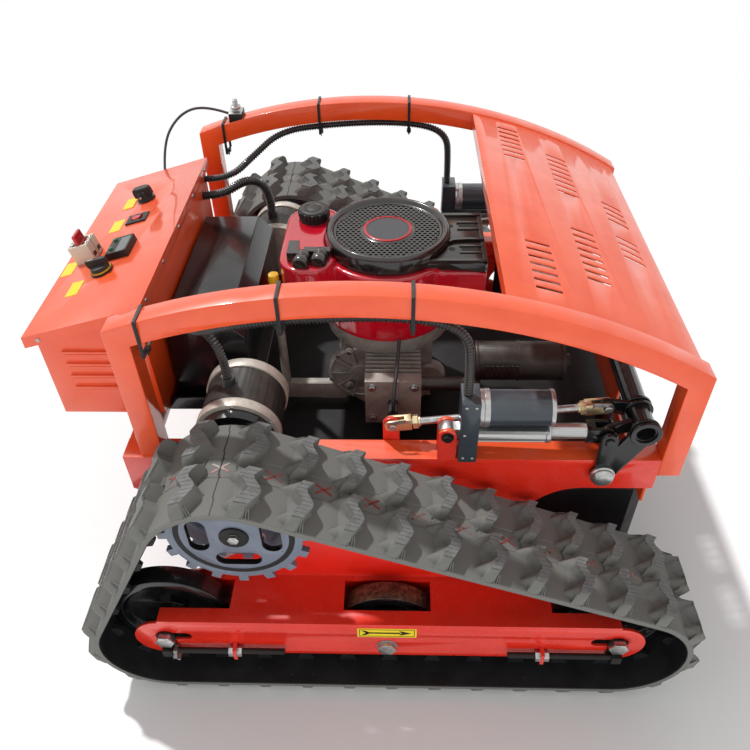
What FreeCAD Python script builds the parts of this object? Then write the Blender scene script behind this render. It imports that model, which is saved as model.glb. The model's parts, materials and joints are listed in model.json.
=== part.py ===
"""Remote control slope mower as a parametric document, in millimetres.

Frame: x forward, y to the machine's left, z up; the origin lies on the ground under its middle.
Right is side -1 and left is side +1.
"""
import FreeCAD, Part
import math
import os
import Sketcher

Vector = FreeCAD.Vector
Rotation = FreeCAD.Rotation

SIZES = {
    "overrun": 10,
    "running_gap": 0.5,
    "fit_gap": 0.4,
    "tube_width": 35,
    "tube_wall": 2.5,
    "chassis_half_width": 338,
    "side_plate_thickness": 5,
    "rail_bottom": 372,
    "rail_rear_x": -391,
    "rail_gap_rear_x": -290,
    "rail_gap_front_x": -120,
    "hoop_rear_x": -360,
    "hoop_rear_top": 653,
    "hoop_front_x": 476,
    "hoop_front_top": 574,
    "hoop_radius": 969,
    "plate_front_bottom": 342,
    "plate_step_x": 330,
    "plate_notch_x": 254,
    "plate_notch_z": 298,
    "plate_notch_radius": 95,
    "plate_low_front_x": 215,
    "plate_low_rear_x": -150,
    "plate_low_z": 205,
    "plate_rear_z": 332,
    "panel_front_x": 435,
    "panel_thickness": 5,
    "panel_bottom": 304,
    "panel_window_inner": 130,
    "panel_window_outer": 225,
    "panel_window_margin": 24,
    "hood_rear_x": 181,
    "hood_front_x": 465,
    "hood_sink": 2,
    "hood_thickness": 2.5,
    "hood_rear_flange": 26,
    "hood_front_flange": 20,
    "hood_slot_length": 38,
    "hood_slot_width": 6,
    "hood_column_x": 245,
    "hood_column_pitch": 86,
    "hood_slot_pitch": 20,
    "hood_column_one_y": 142,
    "hood_column_two_y": 60,
    "hood_column_three_y": 26,
    "box_rear_x": -512,
    "box_front_x": -345,
    "box_half_width": 244,
    "box_bottom": 412,
    "sheet": 2.5,
    "lid_rear_x": -530,
    "lid_front_x": -338,
    "lid_rear_top": 573,
    "lid_front_top": 628,
    "lid_half_width": 250,
    "lid_lip": 20,
    "louvre_rear_x": -477,
    "louvre_length": 77,
    "louvre_low_z": 464,
    "louvre_pitch": 24,
    "louvre_height": 9,
    "louvre_depth": 5,
    "bar_rear_x": -500,
    "bar_inner_y": 150,
    "bar_width": 40,
    "tray_thickness": 5,
    "tray_front_x": -205,
    "tray_half_width": 190,
    "tray_flange": 22,
    "cover_rear_x": -340,
    "cover_front_x": -210,
    "cover_half_width": 175,
    "cover_top": 540,
    "cover_chamfer": 26,
    "battery_margin": 12,
    "battery_half_width": 140,
    "battery_height": 130,
    "controller_length": 110,
    "controller_half_width": 120,
    "controller_height": 55,
    "controller_margin": 22,
    "motor_x": -210,
    "motor_z": 430,
    "motor_radius": 64,
    "motor_ring_radius": 67,
    "motor_inner_y": 205,
    "motor_ring_width": 18,
    "motor_outer_y": 315,
    "gearbox_radius": 60,
    "gland_radius": 11,
    "gland_height": 10,
    "gland_rise": 11.5,
    "gland_shift": 15,
    "sprocket_x": -201,
    "sprocket_z": 368,
    "shaft_radius": 15,
    "shaft_depth": 13,
    "shaft_hole_radius": 25,
    "belt_inner_y": 350,
    "belt_width": 166,
    "belt_carcass": 10,
    "lug_height": 22,
    "lug_root": 5,
    "lug_half_length": 35,
    "lug_half_width": 41,
    "lug_count": 32,
    "drive_loop_radius": 115,
    "idler_loop_radius": 100,
    "horn_shift": 28,
    "horn_width": 10,
    "horn_height": 14,
    "horn_half_length": 15,
    "wheel_half_width": 16,
    "sprocket_plate": 10,
    "sprocket_half_width": 25,
    "tooth_count": 16,
    "tooth_height": 13,
    "tooth_width": 15,
    "sprocket_hub_radius": 32,
    "sprocket_washer_radius": 22,
    "kidney_radius": 15,
    "kidney_circle": 58,
    "kidney_reach": 20,
    "groove_radius": 88,
    "groove_width": 6,
    "groove_depth": 3,
    "axle_z": 132,
    "idler_front_x": 396,
    "idler_rear_x": -343,
    "axle_radius": 10,
    "hub_radius": 24,
    "hub_overhang": 7,
    "web_half_thickness": 5,
    "rim_depth": 18,
    "rim_slope": 5,
    "roller_x": 22,
    "roller_radius": 80,
    "roller_lift": 0.5,
    "wheel_gap": 0.5,
    "beam_inner_y": 482,
    "beam_thickness": 5,
    "beam_bottom": 82,
    "beam_top": 172,
    "beam_rear_x": -396,
    "beam_front_x": 441,
    "wall_inner_y": 391,
    "wall_thickness": 5,
    "wall_peak_x": -40,
    "wall_peak_z": 365,
    "wall_front_x": 330,
    "wall_front_z": 215,
    "wall_front_end_z": 150,
    "wall_shoulder_x": -150,
    "wall_shoulder_z": 290,
    "wall_rear_x": -300,
    "wall_rear_z": 185,
    "web_opening_half": 28,
    "web_rear_edge": -236,
    "web_front_edge": 289,
    "window_half_length": 71,
    "slot_reach": 32,
    "mount_rear_x": -90,
    "mount_front_x": 170,
    "mount_width": 40,
    "bolt_head": 16,
    "bolt_head_height": 9,
    "eye_thickness": 4,
    "tension_rod_radius": 5,
    "tension_rod_z": 104,
    "tension_rod_shift": 9,
    "tension_rear_tab": -230,
    "tension_front_tab": 276,
    "tension_rear_end": -148,
    "tension_front_end": 220,
    "tab_thickness": 6,
    "tab_half_height": 14,
    "tab_reach": 17,
    "nut_radius": 9,
    "nut_height": 8,
    "rocker_x": 353,
    "rocker_z": 383,
    "pivot_radius": 8,
    "pin_radius": 5,
    "deck_pin_radius": 6,
    "arm_length": 85,
    "tie_arm_x": 1,
    "tie_arm_z": 98,
    "push_arm_x": 1.5,
    "push_arm_z": 72,
    "torque_tube_x": 400,
    "torque_tube_z": 474,
    "torque_tube_radius": 17,
    "torque_tube_wall": 3.5,
    "arm_inner_y": 291,
    "arm_thickness": 6,
    "arm_half_width": 13,
    "outer_plate_gap": 2,
    "outer_plate_half_width": 18,
    "push_plate_y": 322,
    "push_plate_half": 4,
    "push_plate_half_width": 10,
    "lever_x": 29,
    "lever_z": 342,
    "ear_gap": 1,
    "ear_thickness": 6,
    "ear_half_width": 15,
    "fork_gap": 0.8,
    "fork_cheek": 4,
    "fork_length": 32,
    "fork_half_width": 10,
    "fork_base": 10,
    "tie_rod_radius": 6,
    "actuator_x": 113,
    "actuator_eye_radius": 14,
    "actuator_eye_half": 9,
    "eye_arm_half": 10,
    "actuator_lug_thickness": 6,
    "actuator_lug_gap": 0.5,
    "head_rear_x": 130,
    "head_front_x": 157,
    "head_low": 42,
    "head_high": 79,
    "head_inner_y": 304,
    "head_outer_y": 349,
    "lift_motor_radius": 28,
    "lift_motor_rise": 48,
    "lift_motor_front_x": 265,
    "lift_ring_width": 6,
    "lift_ring_rise": 1,
    "lift_tube_radius": 17,
    "lift_rod_radius": 12,
    "lift_rod_rear_x": 197,
    "clevis_rear_x": 320,
    "clevis_back_x": 333,
    "clevis_half_width": 12,
    "clevis_cheek": 6,
    "clevis_radius": 13,
    "open_gap": 3.6,
    "deck_rear_x": -290,
    "deck_front_x": 467,
    "deck_half_width": 290,
    "deck_top": 280,
    "deck_bottom": 110,
    "deck_sheet": 3,
    "deck_corner": 60,
    "deck_bolt_inset": 14,
    "engine_x": 20,
    "engine_flange_radius": 90,
    "engine_flange": 12,
    "crankcase_rear": 80,
    "crankcase_half_width": 70,
    "crankcase_top": 430,
    "seat_gap": 0.3,
    "shroud_overlap": 20,
    "blower_base_top": 478,
    "cylinder_z": 380,
    "cylinder_shift": 10,
    "cylinder_radius": 40,
    "cylinder_length": 95,
    "fin_half_width": 48,
    "fin_thickness": 3.5,
    "fin_count": 9,
    "head_thickness": 20,
    "filler_x": -172,
    "filler_y": -70,
    "filler_radius": 8,
    "filler_top": 548,
    "stick_radius": 3,
    "stick_depth": 90,
    "stick_handle_radius": 9,
    "stick_handle_height": 20,
    "shroud_radius": 118,
    "shroud_wall": 5,
    "shroud_top": 588,
    "tank_x": -112,
    "tank_half_width": 60,
    "tank_radius": 48,
    "tank_bottom": 500,
    "tank_top": 598,
    "fairing_front_x": 184,
    "fairing_left_y": 72,
    "fairing_right_y": -88,
    "fairing_bottom": 505,
    "fairing_top": 582,
    "ring_radius": 107,
    "ring_inner_radius": 93,
    "ring_top": 620,
    "screen_top": 604,
    "screen_bottom": 592,
    "screen_bar": 8,
    "screen_slots": 24,
    "screen_hub_margin": 10,
    "badge_radius": 44,
    "badge_rise": 5,
    "neck_top": 603,
    "neck_slot_width": 12,
    "neck_slot_length": 46,
    "neck_slot_inset": 10,
    "bulb_radius": 15,
    "bulb_height": 24,
    "bulb_one_x": -92,
    "bulb_one_y": -46,
    "bulb_two_x": -120,
    "bulb_two_y": -78,
    "cap_y": 64,
    "cap_radius": 27,
    "cap_height": 18,
    "cap_notch_radius": 4,
    "cap_notches": 12,
    "muffler_rear_x": 167,
    "muffler_front_x": 316,
    "muffler_y": -150,
    "muffler_z": 447,
    "muffler_radius": 33,
    "pipe_radius": 12,
    "pipe_reach": 10,
    "crank_radius": 12.7,
    "crank_end": 10,
    "flywheel_radius": 96,
    "flywheel_bottom": 490,
    "flywheel_top": 516,
    "blade_radius": 268,
    "blade_half_width": 26,
    "blade_thickness": 5,
    "blade_z": 150,
    "blade_hub_radius": 30,
    "blade_hub_height": 22,
    "rotary_x": -432,
    "rotary_y": 131,
    "rotary_radius": 13,
    "rotary_height": 18,
    "rotary_notches": 8,
    "rotary_notch_radius": 2.6,
    "spindle_radius": 4,
    "spindle_depth": 14,
    "flange_height": 3,
    "flange_extra": 4,
    "switch_x": -428,
    "switch_y": 55,
    "switch_half_length": 15,
    "switch_half_width": 11,
    "switch_wall": 3,
    "switch_depth": 20,
    "paddle_half_length": 8.5,
    "paddle_half_width": 6.5,
    "paddle_rise": 6,
    "paddle_depth": 6,
    "paddle_pivot_depth": 2,
    "paddle_pin_radius": 1.5,
    "paddle_pin_reach": 0.2,
    "breaker_x": -486,
    "breaker_y": -44,
    "breaker_half_length": 18,
    "breaker_half_width": 19,
    "breaker_height": 32,
    "breaker_depth": 8,
    "breaker_slot_half": 11,
    "breaker_lever_half": 14,
    "breaker_lever_radius": 4,
    "breaker_lever_height": 20,
    "breaker_lever_half_thickness": 2.5,
    "meter_x": -424,
    "meter_y": -50,
    "meter_half_length": 19,
    "meter_half_width": 26,
    "meter_height": 12,
    "meter_rim": 3,
    "meter_depth": 16,
    "button_radius": 3.5,
    "button_shift_x": 11,
    "button_shift_y": 14,
    "button_rise": 4,
    "button_travel": 1.5,
    "selector_x": -443,
    "selector_y": -106,
    "selector_radius": 16,
    "selector_height": 12,
    "selector_bar_half": 18,
    "selector_bar_thickness": 4,
    "selector_bar_height": 12,
    "tie_half_length": 2.5,
    "tie_thickness": 1.5,
    "conduit_radius": 7,
    "thick_conduit_radius": 9,
    "aerial_cable_radius": 2.5,
    "clamp_rear_x": -296,
    "clamp_front_x": -270,
    "clamp_top": 692,
    "clamp_screw_radius": 5,
    "clamp_screw_top": 714,
    "clamp_collar_height": 10,
}

# Shares of a lug's half length and half width: the outline of its star, one quarter of it.
LUG_QUARTER_SHARES = ((1.0, 0.34), (0.56, 0.48), (0.36, 1.0))
LUG_TOP_SHARE = 0.70
LUG_PHASE_SHARE = 0.95
HORN_TOP_SHARE = 0.6

# Routes of the held cables, right hand side first; points in millimetres, chosen by hand.
TRUNK_ROUTE = [
    (-344.7, 232, 591),
    (-296, 232, 591),
    (-255, 285, 612),
    (-200, 320, 650),
    (-100, 320, 663),
    (10, 320, 667.5),
    (95, 320, 660),
    (134, 323, 636),
    (139, 327, 590),
    (139, 327, 534.4),
]
MOTOR_ROUTE = [
    (-344.7, 200, 572),
    (-306, 200, 572),
    (-262, 236, 590),
    (-225, 260, 560),
    (-225, 260, 507.4),
]
AERIAL_ROUTE = [
    (-296.4, 320, 686),
    (-335, 320, 700),
    (-380, 312, 698),
    (-415, 292, 668),
    (-428, 270, 628),
    (-428, 252.4, 598),
]
TIE_SHARES = (0.06, 0.29, 0.5)
# How much of the shorter run beside a corner its arc takes.
BEND_SHARE = 0.45

doc = FreeCAD.newDocument("SlopeMower")
sheet = doc.addObject("Spreadsheet::Sheet", "Sizes")
NODES = []


class Measure:
    """A length, count or angle together with the sheet formula that gives it."""

    def __init__(self, value, text):
        self.value = float(value)
        self.text = str(text)

    def __float__(self):
        return self.value

    def join(self, sign, other, value):
        return Measure(value, "(" + self.text + " " + sign + " " + other.text + ")")

    def __add__(self, other):
        other = measure(other)
        return self.join("+", other, self.value + other.value)

    def __sub__(self, other):
        other = measure(other)
        return self.join("-", other, self.value - other.value)

    def __mul__(self, other):
        other = measure(other)
        return self.join("*", other, self.value * other.value)

    def __truediv__(self, other):
        other = measure(other)
        return self.join("/", other, self.value / other.value)

    def __radd__(self, other):
        return measure(other) + self

    def __rsub__(self, other):
        return measure(other) - self

    def __rmul__(self, other):
        return measure(other) * self

    def __neg__(self):
        return self * -1


def measure(value):
    """The value as a Measure; a plain number is its own formula."""
    if isinstance(value, Measure):
        return value
    return Measure(value, value)


def root(value):
    return Measure(math.sqrt(value.value), "sqrt(" + value.text + ")")


def slope_angle(rise, run):
    """The angle in degrees of a line that rises by rise over run."""
    rise = measure(rise)
    run = measure(run)
    degrees = math.degrees(math.atan2(rise.value, run.value))
    return Measure(degrees, "atan2(" + rise.text + "; " + run.text + ")")


class SizeBook:
    """Reads the sheet: size.tube_width is the cell with that alias."""

    def __getattr__(self, alias):
        return Measure(sheet.get(alias), "Sizes." + alias)


def fill_sheet():
    for row, (alias, number) in enumerate(SIZES.items(), start=1):
        sheet.set("A" + str(row), alias)
        sheet.set("B" + str(row), str(number))
        sheet.setAlias("B" + str(row), alias)
    doc.recompute()


fill_sheet()
size = SizeBook()


def bind(item, name, value):
    item.setExpression(name, measure(value).text)


def place(item, x, y, z):
    for letter, value in zip("xyz", (x, y, z)):
        bind(item, "Placement.Base." + letter, value)


def span(side, inner, outer):
    """The low and high y of a piece between two distances from the middle plane."""
    if side > 0:
        return (measure(inner), measure(outer))
    return (-measure(outer), -measure(inner))


def about(centre, half):
    return (centre - half, centre + half)


def block(x, y, z):
    """A box between (low, high) pairs."""
    box = doc.addObject("Part::Box", "Block")
    for name, (low, high) in zip(("Length", "Width", "Height"), (x, y, z)):
        bind(box, name, measure(high) - low)
    place(box, x[0], y[0], z[0])
    return box


TURN_TO_AXIS = {
    "x": Rotation(Vector(0, 1, 0), 90),
    "y": Rotation(Vector(1, 0, 0), -90),
    "z": Rotation(),
}


def stand(item, axis, low, first, second):
    """Turns a round primitive onto its axis and starts it at low; the others are its centre."""
    item.Placement.Rotation = TURN_TO_AXIS[axis]
    if axis == "x":
        place(item, low, first, second)
    elif axis == "y":
        place(item, first, low, second)
    else:
        place(item, first, second, low)
    return item


def rod(axis, radius, reach, first, second):
    cylinder = doc.addObject("Part::Cylinder", "Rod")
    bind(cylinder, "Radius", radius)
    bind(cylinder, "Height", measure(reach[1]) - reach[0])
    return stand(cylinder, axis, reach[0], first, second)


def hexagon(axis, radius, reach, first, second):
    prism = doc.addObject("Part::Prism", "Hexagon")
    prism.Polygon = 6
    bind(prism, "Circumradius", radius)
    bind(prism, "Height", measure(reach[1]) - reach[0])
    return stand(prism, axis, reach[0], first, second)


def cone(axis, first_radius, last_radius, reach, first, second):
    frustum = doc.addObject("Part::Cone", "Frustum")
    bind(frustum, "Radius1", first_radius)
    bind(frustum, "Radius2", last_radius)
    bind(frustum, "Height", measure(reach[1]) - reach[0])
    return stand(frustum, axis, reach[0], first, second)


def fuse(*items):
    union = doc.addObject("Part::MultiFuse", "Union")
    union.Shapes = list(items)
    return union


def group(*items):
    """Separate solids that share one node, such as bolts."""
    compound = doc.addObject("Part::Compound", "Group")
    compound.Links = list(items)
    return compound


def cut(base, *tools):
    difference = doc.addObject("Part::Cut", "Difference")
    difference.Base = base
    difference.Tool = tools[0] if len(tools) == 1 else fuse(*tools)
    return difference


def bar(x0, z0, x1, z1, half_width, y):
    """A flat bar along the line between two points of a plane of constant y."""
    x0, z0, x1, z1 = (measure(value) for value in (x0, z0, x1, z1))
    run = x1 - x0
    rise = z1 - z0
    length = root(run * run + rise * rise)
    box = doc.addObject("Part::Box", "Bar")
    bind(box, "Length", length)
    bind(box, "Width", measure(y[1]) - y[0])
    bind(box, "Height", half_width * 2)
    box.Placement.Rotation = Rotation(Vector(0, 1, 0), 1)
    bind(box, "Placement.Rotation.Angle", -slope_angle(rise, run))
    place(box, x0 + half_width * rise / length, y[0], z0 - half_width * run / length)
    return box


def link(x0, z0, x1, z1, half_width, y):
    """A bar with round ends about both points."""
    ends = (rod("y", half_width, y, x0, z0), rod("y", half_width, y, x1, z1))
    return fuse(bar(x0, z0, x1, z1, half_width, y), *ends)


def polar(centre_x, centre_z, radius, degrees):
    """The point at a radius and angle in a plane of constant y."""
    turn = math.radians(degrees)
    return (centre_x + radius * math.cos(turn), centre_z + radius * math.sin(turn))


def origin_plane(body, role):
    return next(item for item in body.Origin.OriginFeatures if item.Role == role)


def pin_corner(sketch, edge, corner, point, name):
    """Fixes one end of an edge by its distances from the sketch's origin."""
    for kind, axis, value, word in zip(("DistanceX", "DistanceY"), (-2, -1), point, ("across", "up")):
        value = measure(value)
        if value.text == "0":
            sketch.addConstraint(Sketcher.Constraint("PointOnObject", edge, corner, axis))
            continue
        row = Sketcher.Constraint(kind, -1, 1, edge, corner, value.value)
        index = sketch.addConstraint(row)
        sketch.renameConstraint(index, word + name)
        bind(sketch, "Constraints." + word + name, value)


def arc_between(start, end, radius, turn):
    """A circular arc from start to end whose centre lies on the given hand of the way."""
    chord = end - start
    hand = 1 if turn == "left" else -1
    normal = Vector(-chord.y, chord.x, 0) * hand
    normal.normalize()
    depth = math.sqrt(radius ** 2 - chord.Length ** 2 / 4)
    centre = (start + end) / 2 + normal * depth
    first, last = (start, end) if turn == "left" else (end, start)
    angles = [math.atan2(point.y - centre.y, point.x - centre.x) for point in (first, last)]
    return Part.ArcOfCircle(Part.Circle(centre, Vector(0, 0, 1), radius), angles[0], angles[1])


def outline_sketch(body, role, outline, holes=()):
    """A closed outline of lines and arcs, with round holes, on one of the body's own planes.

    A corner is (across, up), or (across, up, radius, turn) where an arc leaves it.
    """
    sketch = body.newObject("Sketcher::SketchObject", "Outline")
    sketch.AttachmentSupport = (origin_plane(body, role), [""])
    sketch.MapMode = "FlatFace"
    corners = [Vector(float(row[0]), float(row[1]), 0) for row in outline]
    ends = []
    for index, row in enumerate(outline):
        start = corners[index]
        end = corners[(index + 1) % len(corners)]
        if len(row) == 2:
            sketch.addGeometry(Part.LineSegment(start, end))
            ends.append((1, 2))
            continue
        sketch.addGeometry(arc_between(start, end, float(row[2]), row[3]))
        ends.append((1, 2) if row[3] == "left" else (2, 1))
    for index, row in enumerate(outline):
        following = (index + 1) % len(outline)
        joint = Sketcher.Constraint("Coincident", index, ends[index][1], following, ends[following][0])
        sketch.addConstraint(joint)
        pin_corner(sketch, index, ends[index][0], row[:2], "_corner_" + str(index))
        if len(row) > 2:
            number = sketch.addConstraint(Sketcher.Constraint("Radius", index, float(row[2])))
            sketch.renameConstraint(number, "bend_" + str(index))
            bind(sketch, "Constraints.bend_" + str(index), row[2])
    for number, (across, up, radius) in enumerate(holes):
        centre = Vector(float(across), float(up), 0)
        edge = sketch.addGeometry(Part.Circle(centre, Vector(0, 0, 1), float(radius)))
        pin_corner(sketch, edge, 3, (across, up), "_hole_" + str(number))
        index = sketch.addConstraint(Sketcher.Constraint("Radius", edge, float(radius)))
        sketch.renameConstraint(index, "bore_" + str(number))
        bind(sketch, "Constraints.bore_" + str(number), radius)
    return sketch


def padded(axis, outline, reach, holes=()):
    """A plate with a sketched outline: along x, y or z between reach's low and high."""
    body = doc.addObject("PartDesign::Body", "Plate")
    role = {"x": "YZ_Plane", "y": "XZ_Plane", "z": "XY_Plane"}[axis]
    sketch = outline_sketch(body, role, outline, holes)
    pad = body.newObject("PartDesign::Pad", "Pad")
    pad.Profile = sketch
    bind(pad, "Length", measure(reach[1]) - reach[0])
    sketch.Visibility = False
    if axis == "x":
        place(body, reach[0], 0, 0)
    elif axis == "y":
        place(body, 0, reach[1], 0)
    else:
        place(body, 0, 0, reach[0])
    return body


def turned(axis, outline, first, second):
    """A turned piece: its outline is (radius, place along the axis), its centre first, second."""
    body = doc.addObject("PartDesign::Body", "Turned")
    role = "XY_Plane" if axis == "y" else "XZ_Plane"
    sketch = outline_sketch(body, role, outline)
    revolution = body.newObject("PartDesign::Revolution", "Revolution")
    revolution.Profile = sketch
    revolution.ReferenceAxis = (sketch, ["V_Axis"])
    revolution.Angle = 360
    sketch.Visibility = False
    if axis == "y":
        place(body, first, 0, second)
    else:
        place(body, first, second, 0)
    return body


def solid(shape):
    """A piece whose shape Part's own functions make."""
    feature = doc.addObject("Part::Feature", "Solid")
    feature.Shape = shape
    return feature


def node(name, item):
    """Names a finished sub-part."""
    item.Label = name
    NODES.append(item)
    return item


SIDES = (("right", -1), ("left", 1))

inner_face = size.chassis_half_width - size.tube_width
plate_inner = size.chassis_half_width - size.side_plate_thickness
rail_inner = plate_inner - size.tube_width
rail_top = size.rail_bottom + size.tube_width
leg_rear_face = size.hoop_front_x - size.tube_width

hoop_run = size.hoop_front_x - size.hoop_rear_x
hoop_rise = size.hoop_front_top - size.hoop_rear_top
hoop_chord = root(hoop_run * hoop_run + hoop_rise * hoop_rise)
arch_depth = root(size.hoop_radius * size.hoop_radius - hoop_chord * hoop_chord / 4)
arch_x = (size.hoop_front_x + size.hoop_rear_x) / 2 + arch_depth * hoop_rise / hoop_chord
arch_z = (size.hoop_front_top + size.hoop_rear_top) / 2 - arch_depth * hoop_run / hoop_chord


def arch_height(x, radius):
    """The height of a circle about the arch's centre over x."""
    away = measure(x) - arch_x
    return arch_z + root(radius * radius - away * away)


def arch_outline(inset, drop):
    """The hoop's side view, inset by a wall and with its legs lengthened by drop."""
    rear = size.hoop_rear_x + inset
    front = size.hoop_front_x - inset
    rear_in = size.hoop_rear_x + size.tube_width - inset
    front_in = leg_rear_face + inset
    outer = size.hoop_radius - inset
    inner = size.hoop_radius - size.tube_width + inset
    return [
        (rear, rail_top - drop),
        (rear, arch_height(rear, outer), outer, "right"),
        (front, arch_height(front, outer)),
        (front, size.rail_bottom - drop),
        (front_in, size.rail_bottom - drop),
        (front_in, arch_height(front_in, inner), inner, "left"),
        (rear_in, arch_height(rear_in, inner)),
        (rear_in, rail_top - drop),
    ]


def make_hoops():
    tubes = {}
    for word, side in SIDES:
        y = span(side, inner_face, size.chassis_half_width)
        tube = padded("y", arch_outline(measure(0), measure(0)), y)
        y_in = (y[0] + size.tube_wall, y[1] - size.tube_wall)
        cavity = padded("y", arch_outline(size.tube_wall, size.overrun), y_in)
        node("hoop_" + word, cut(tube, cavity))
        tubes[side] = tube
    return tubes


def square_tube(x, y):
    """A rail tube along x, open at both ends."""
    wall = size.tube_wall
    outer = block(x, y, (size.rail_bottom, rail_top))
    bore_x = (x[0] - size.overrun, x[1] + size.overrun)
    bore_z = (size.rail_bottom + wall, rail_top - wall)
    return cut(outer, block(bore_x, (y[0] + wall, y[1] - wall), bore_z))


push_z = size.rocker_z + size.push_arm_z
lug_inner = size.push_plate_y - size.actuator_eye_half - size.actuator_lug_gap
lug_outer = size.push_plate_y + size.actuator_eye_half + size.actuator_lug_gap


def make_side_frames():
    for word, side in SIDES:
        y_rail = span(side, rail_inner, plate_inner)
        front_rail = square_tube((size.rail_gap_front_x, leg_rear_face), y_rail)
        rear_rail = square_tube((size.rail_rear_x, size.rail_gap_rear_x), y_rail)
        outline = [
            (size.rail_rear_x, rail_top),
            (size.rail_rear_x, size.plate_rear_z),
            (size.plate_low_rear_x, size.plate_low_z),
            (size.plate_low_front_x, size.plate_low_z),
            (size.plate_notch_x, size.plate_notch_z, size.plate_notch_radius, "right"),
            (size.plate_step_x, size.plate_front_bottom),
            (leg_rear_face, size.plate_front_bottom),
            (leg_rear_face, rail_top),
        ]
        holes = [
            (size.sprocket_x, size.sprocket_z, size.shaft_hole_radius),
            (size.lever_x, size.lever_z, size.pivot_radius),
        ]
        plate = padded("y", outline, span(side, plate_inner, size.chassis_half_width), holes)
        lugs = []
        for low in (lug_inner - size.actuator_lug_thickness, lug_outer):
            y_lug = span(side, low, low + size.actuator_lug_thickness)
            half = size.actuator_eye_radius
            lugs.append(block(about(size.actuator_x, half), y_lug, (rail_top, push_z)))
            lugs.append(rod("y", half, y_lug, size.actuator_x, push_z))
        y_bore = span(side, rail_inner - size.overrun, size.chassis_half_width + size.overrun)
        pivot = rod("y", size.pivot_radius + size.fit_gap, y_bore, size.rocker_x, size.rocker_z)
        pin = rod("y", size.pin_radius, y_bore, size.actuator_x, push_z)
        node("side_frame_" + word, cut(fuse(plate, front_rail, rear_rail, *lugs), pivot, pin))


def make_front_panel():
    wide = plate_inner
    narrow = rail_inner
    outline = [
        (-wide, size.panel_bottom),
        (wide, size.panel_bottom),
        (wide, size.rail_bottom),
        (narrow, size.rail_bottom),
        (narrow, rail_top),
        (-narrow, rail_top),
        (-narrow, size.rail_bottom),
        (-wide, size.rail_bottom),
    ]
    reach = (size.panel_front_x - size.panel_thickness, size.panel_front_x)
    sheet_metal = padded("x", outline, reach)
    margin = size.panel_window_margin
    windows = []
    for word, side in SIDES:
        y = span(side, size.panel_window_inner, size.panel_window_outer)
        z = (size.panel_bottom + margin, rail_top - margin)
        windows.append(block((reach[0] - size.overrun, reach[1] + size.overrun), y, z))
    node("front_panel", cut(sheet_metal, *windows))


def make_hood():
    top = size.hoop_radius - size.hood_sink
    under = top - size.hood_thickness
    rear = size.hood_rear_x
    front = size.hood_front_x
    rear_in = rear + size.hood_thickness
    front_in = front - size.hood_thickness
    rear_low = arch_height(rear, top) - size.hood_rear_flange
    front_low = arch_height(front, top) - size.hood_front_flange
    outline = [
        (rear, rear_low),
        (rear, arch_height(rear, top), top, "right"),
        (front, arch_height(front, top)),
        (front, front_low),
        (front_in, front_low),
        (front_in, arch_height(front_in, under), under, "left"),
        (rear_in, arch_height(rear_in, under)),
        (rear_in, rear_low),
    ]
    skin = padded("y", outline, (-inner_face, inner_face))
    columns = (
        (size.hood_column_one_y, 7),
        (size.hood_column_two_y, 8),
        (size.hood_column_three_y, 4),
    )
    slots = []
    for word, side in SIDES:
        for column, (first_y, count) in enumerate(columns):
            centre = size.hood_column_x + size.hood_column_pitch * column
            x = about(centre, size.hood_slot_length / 2)
            for index in range(count):
                low = first_y + size.hood_slot_pitch * index
                y = span(side, low, low + size.hood_slot_width)
                slots.append(block(x, y, (front_low, arch_z + size.hoop_radius + size.overrun)))
    node("hood", cut(skin, *slots))


lid_run = size.lid_front_x - size.lid_rear_x
lid_rise = size.lid_front_top - size.lid_rear_top
lid_slope = lid_rise / lid_run
lid_angle = slope_angle(lid_rise, lid_run)


def lid_top(x):
    return size.lid_rear_top + (measure(x) - size.lid_rear_x) * lid_slope


def on_lid(item, x, y):
    """Sets a piece, made about the origin, on the lid's sloping top."""
    item.Placement.Rotation = Rotation(Vector(0, 1, 0), 1)
    bind(item, "Placement.Rotation.Angle", -lid_angle)
    place(item, x, y, lid_top(x))
    return item


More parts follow.
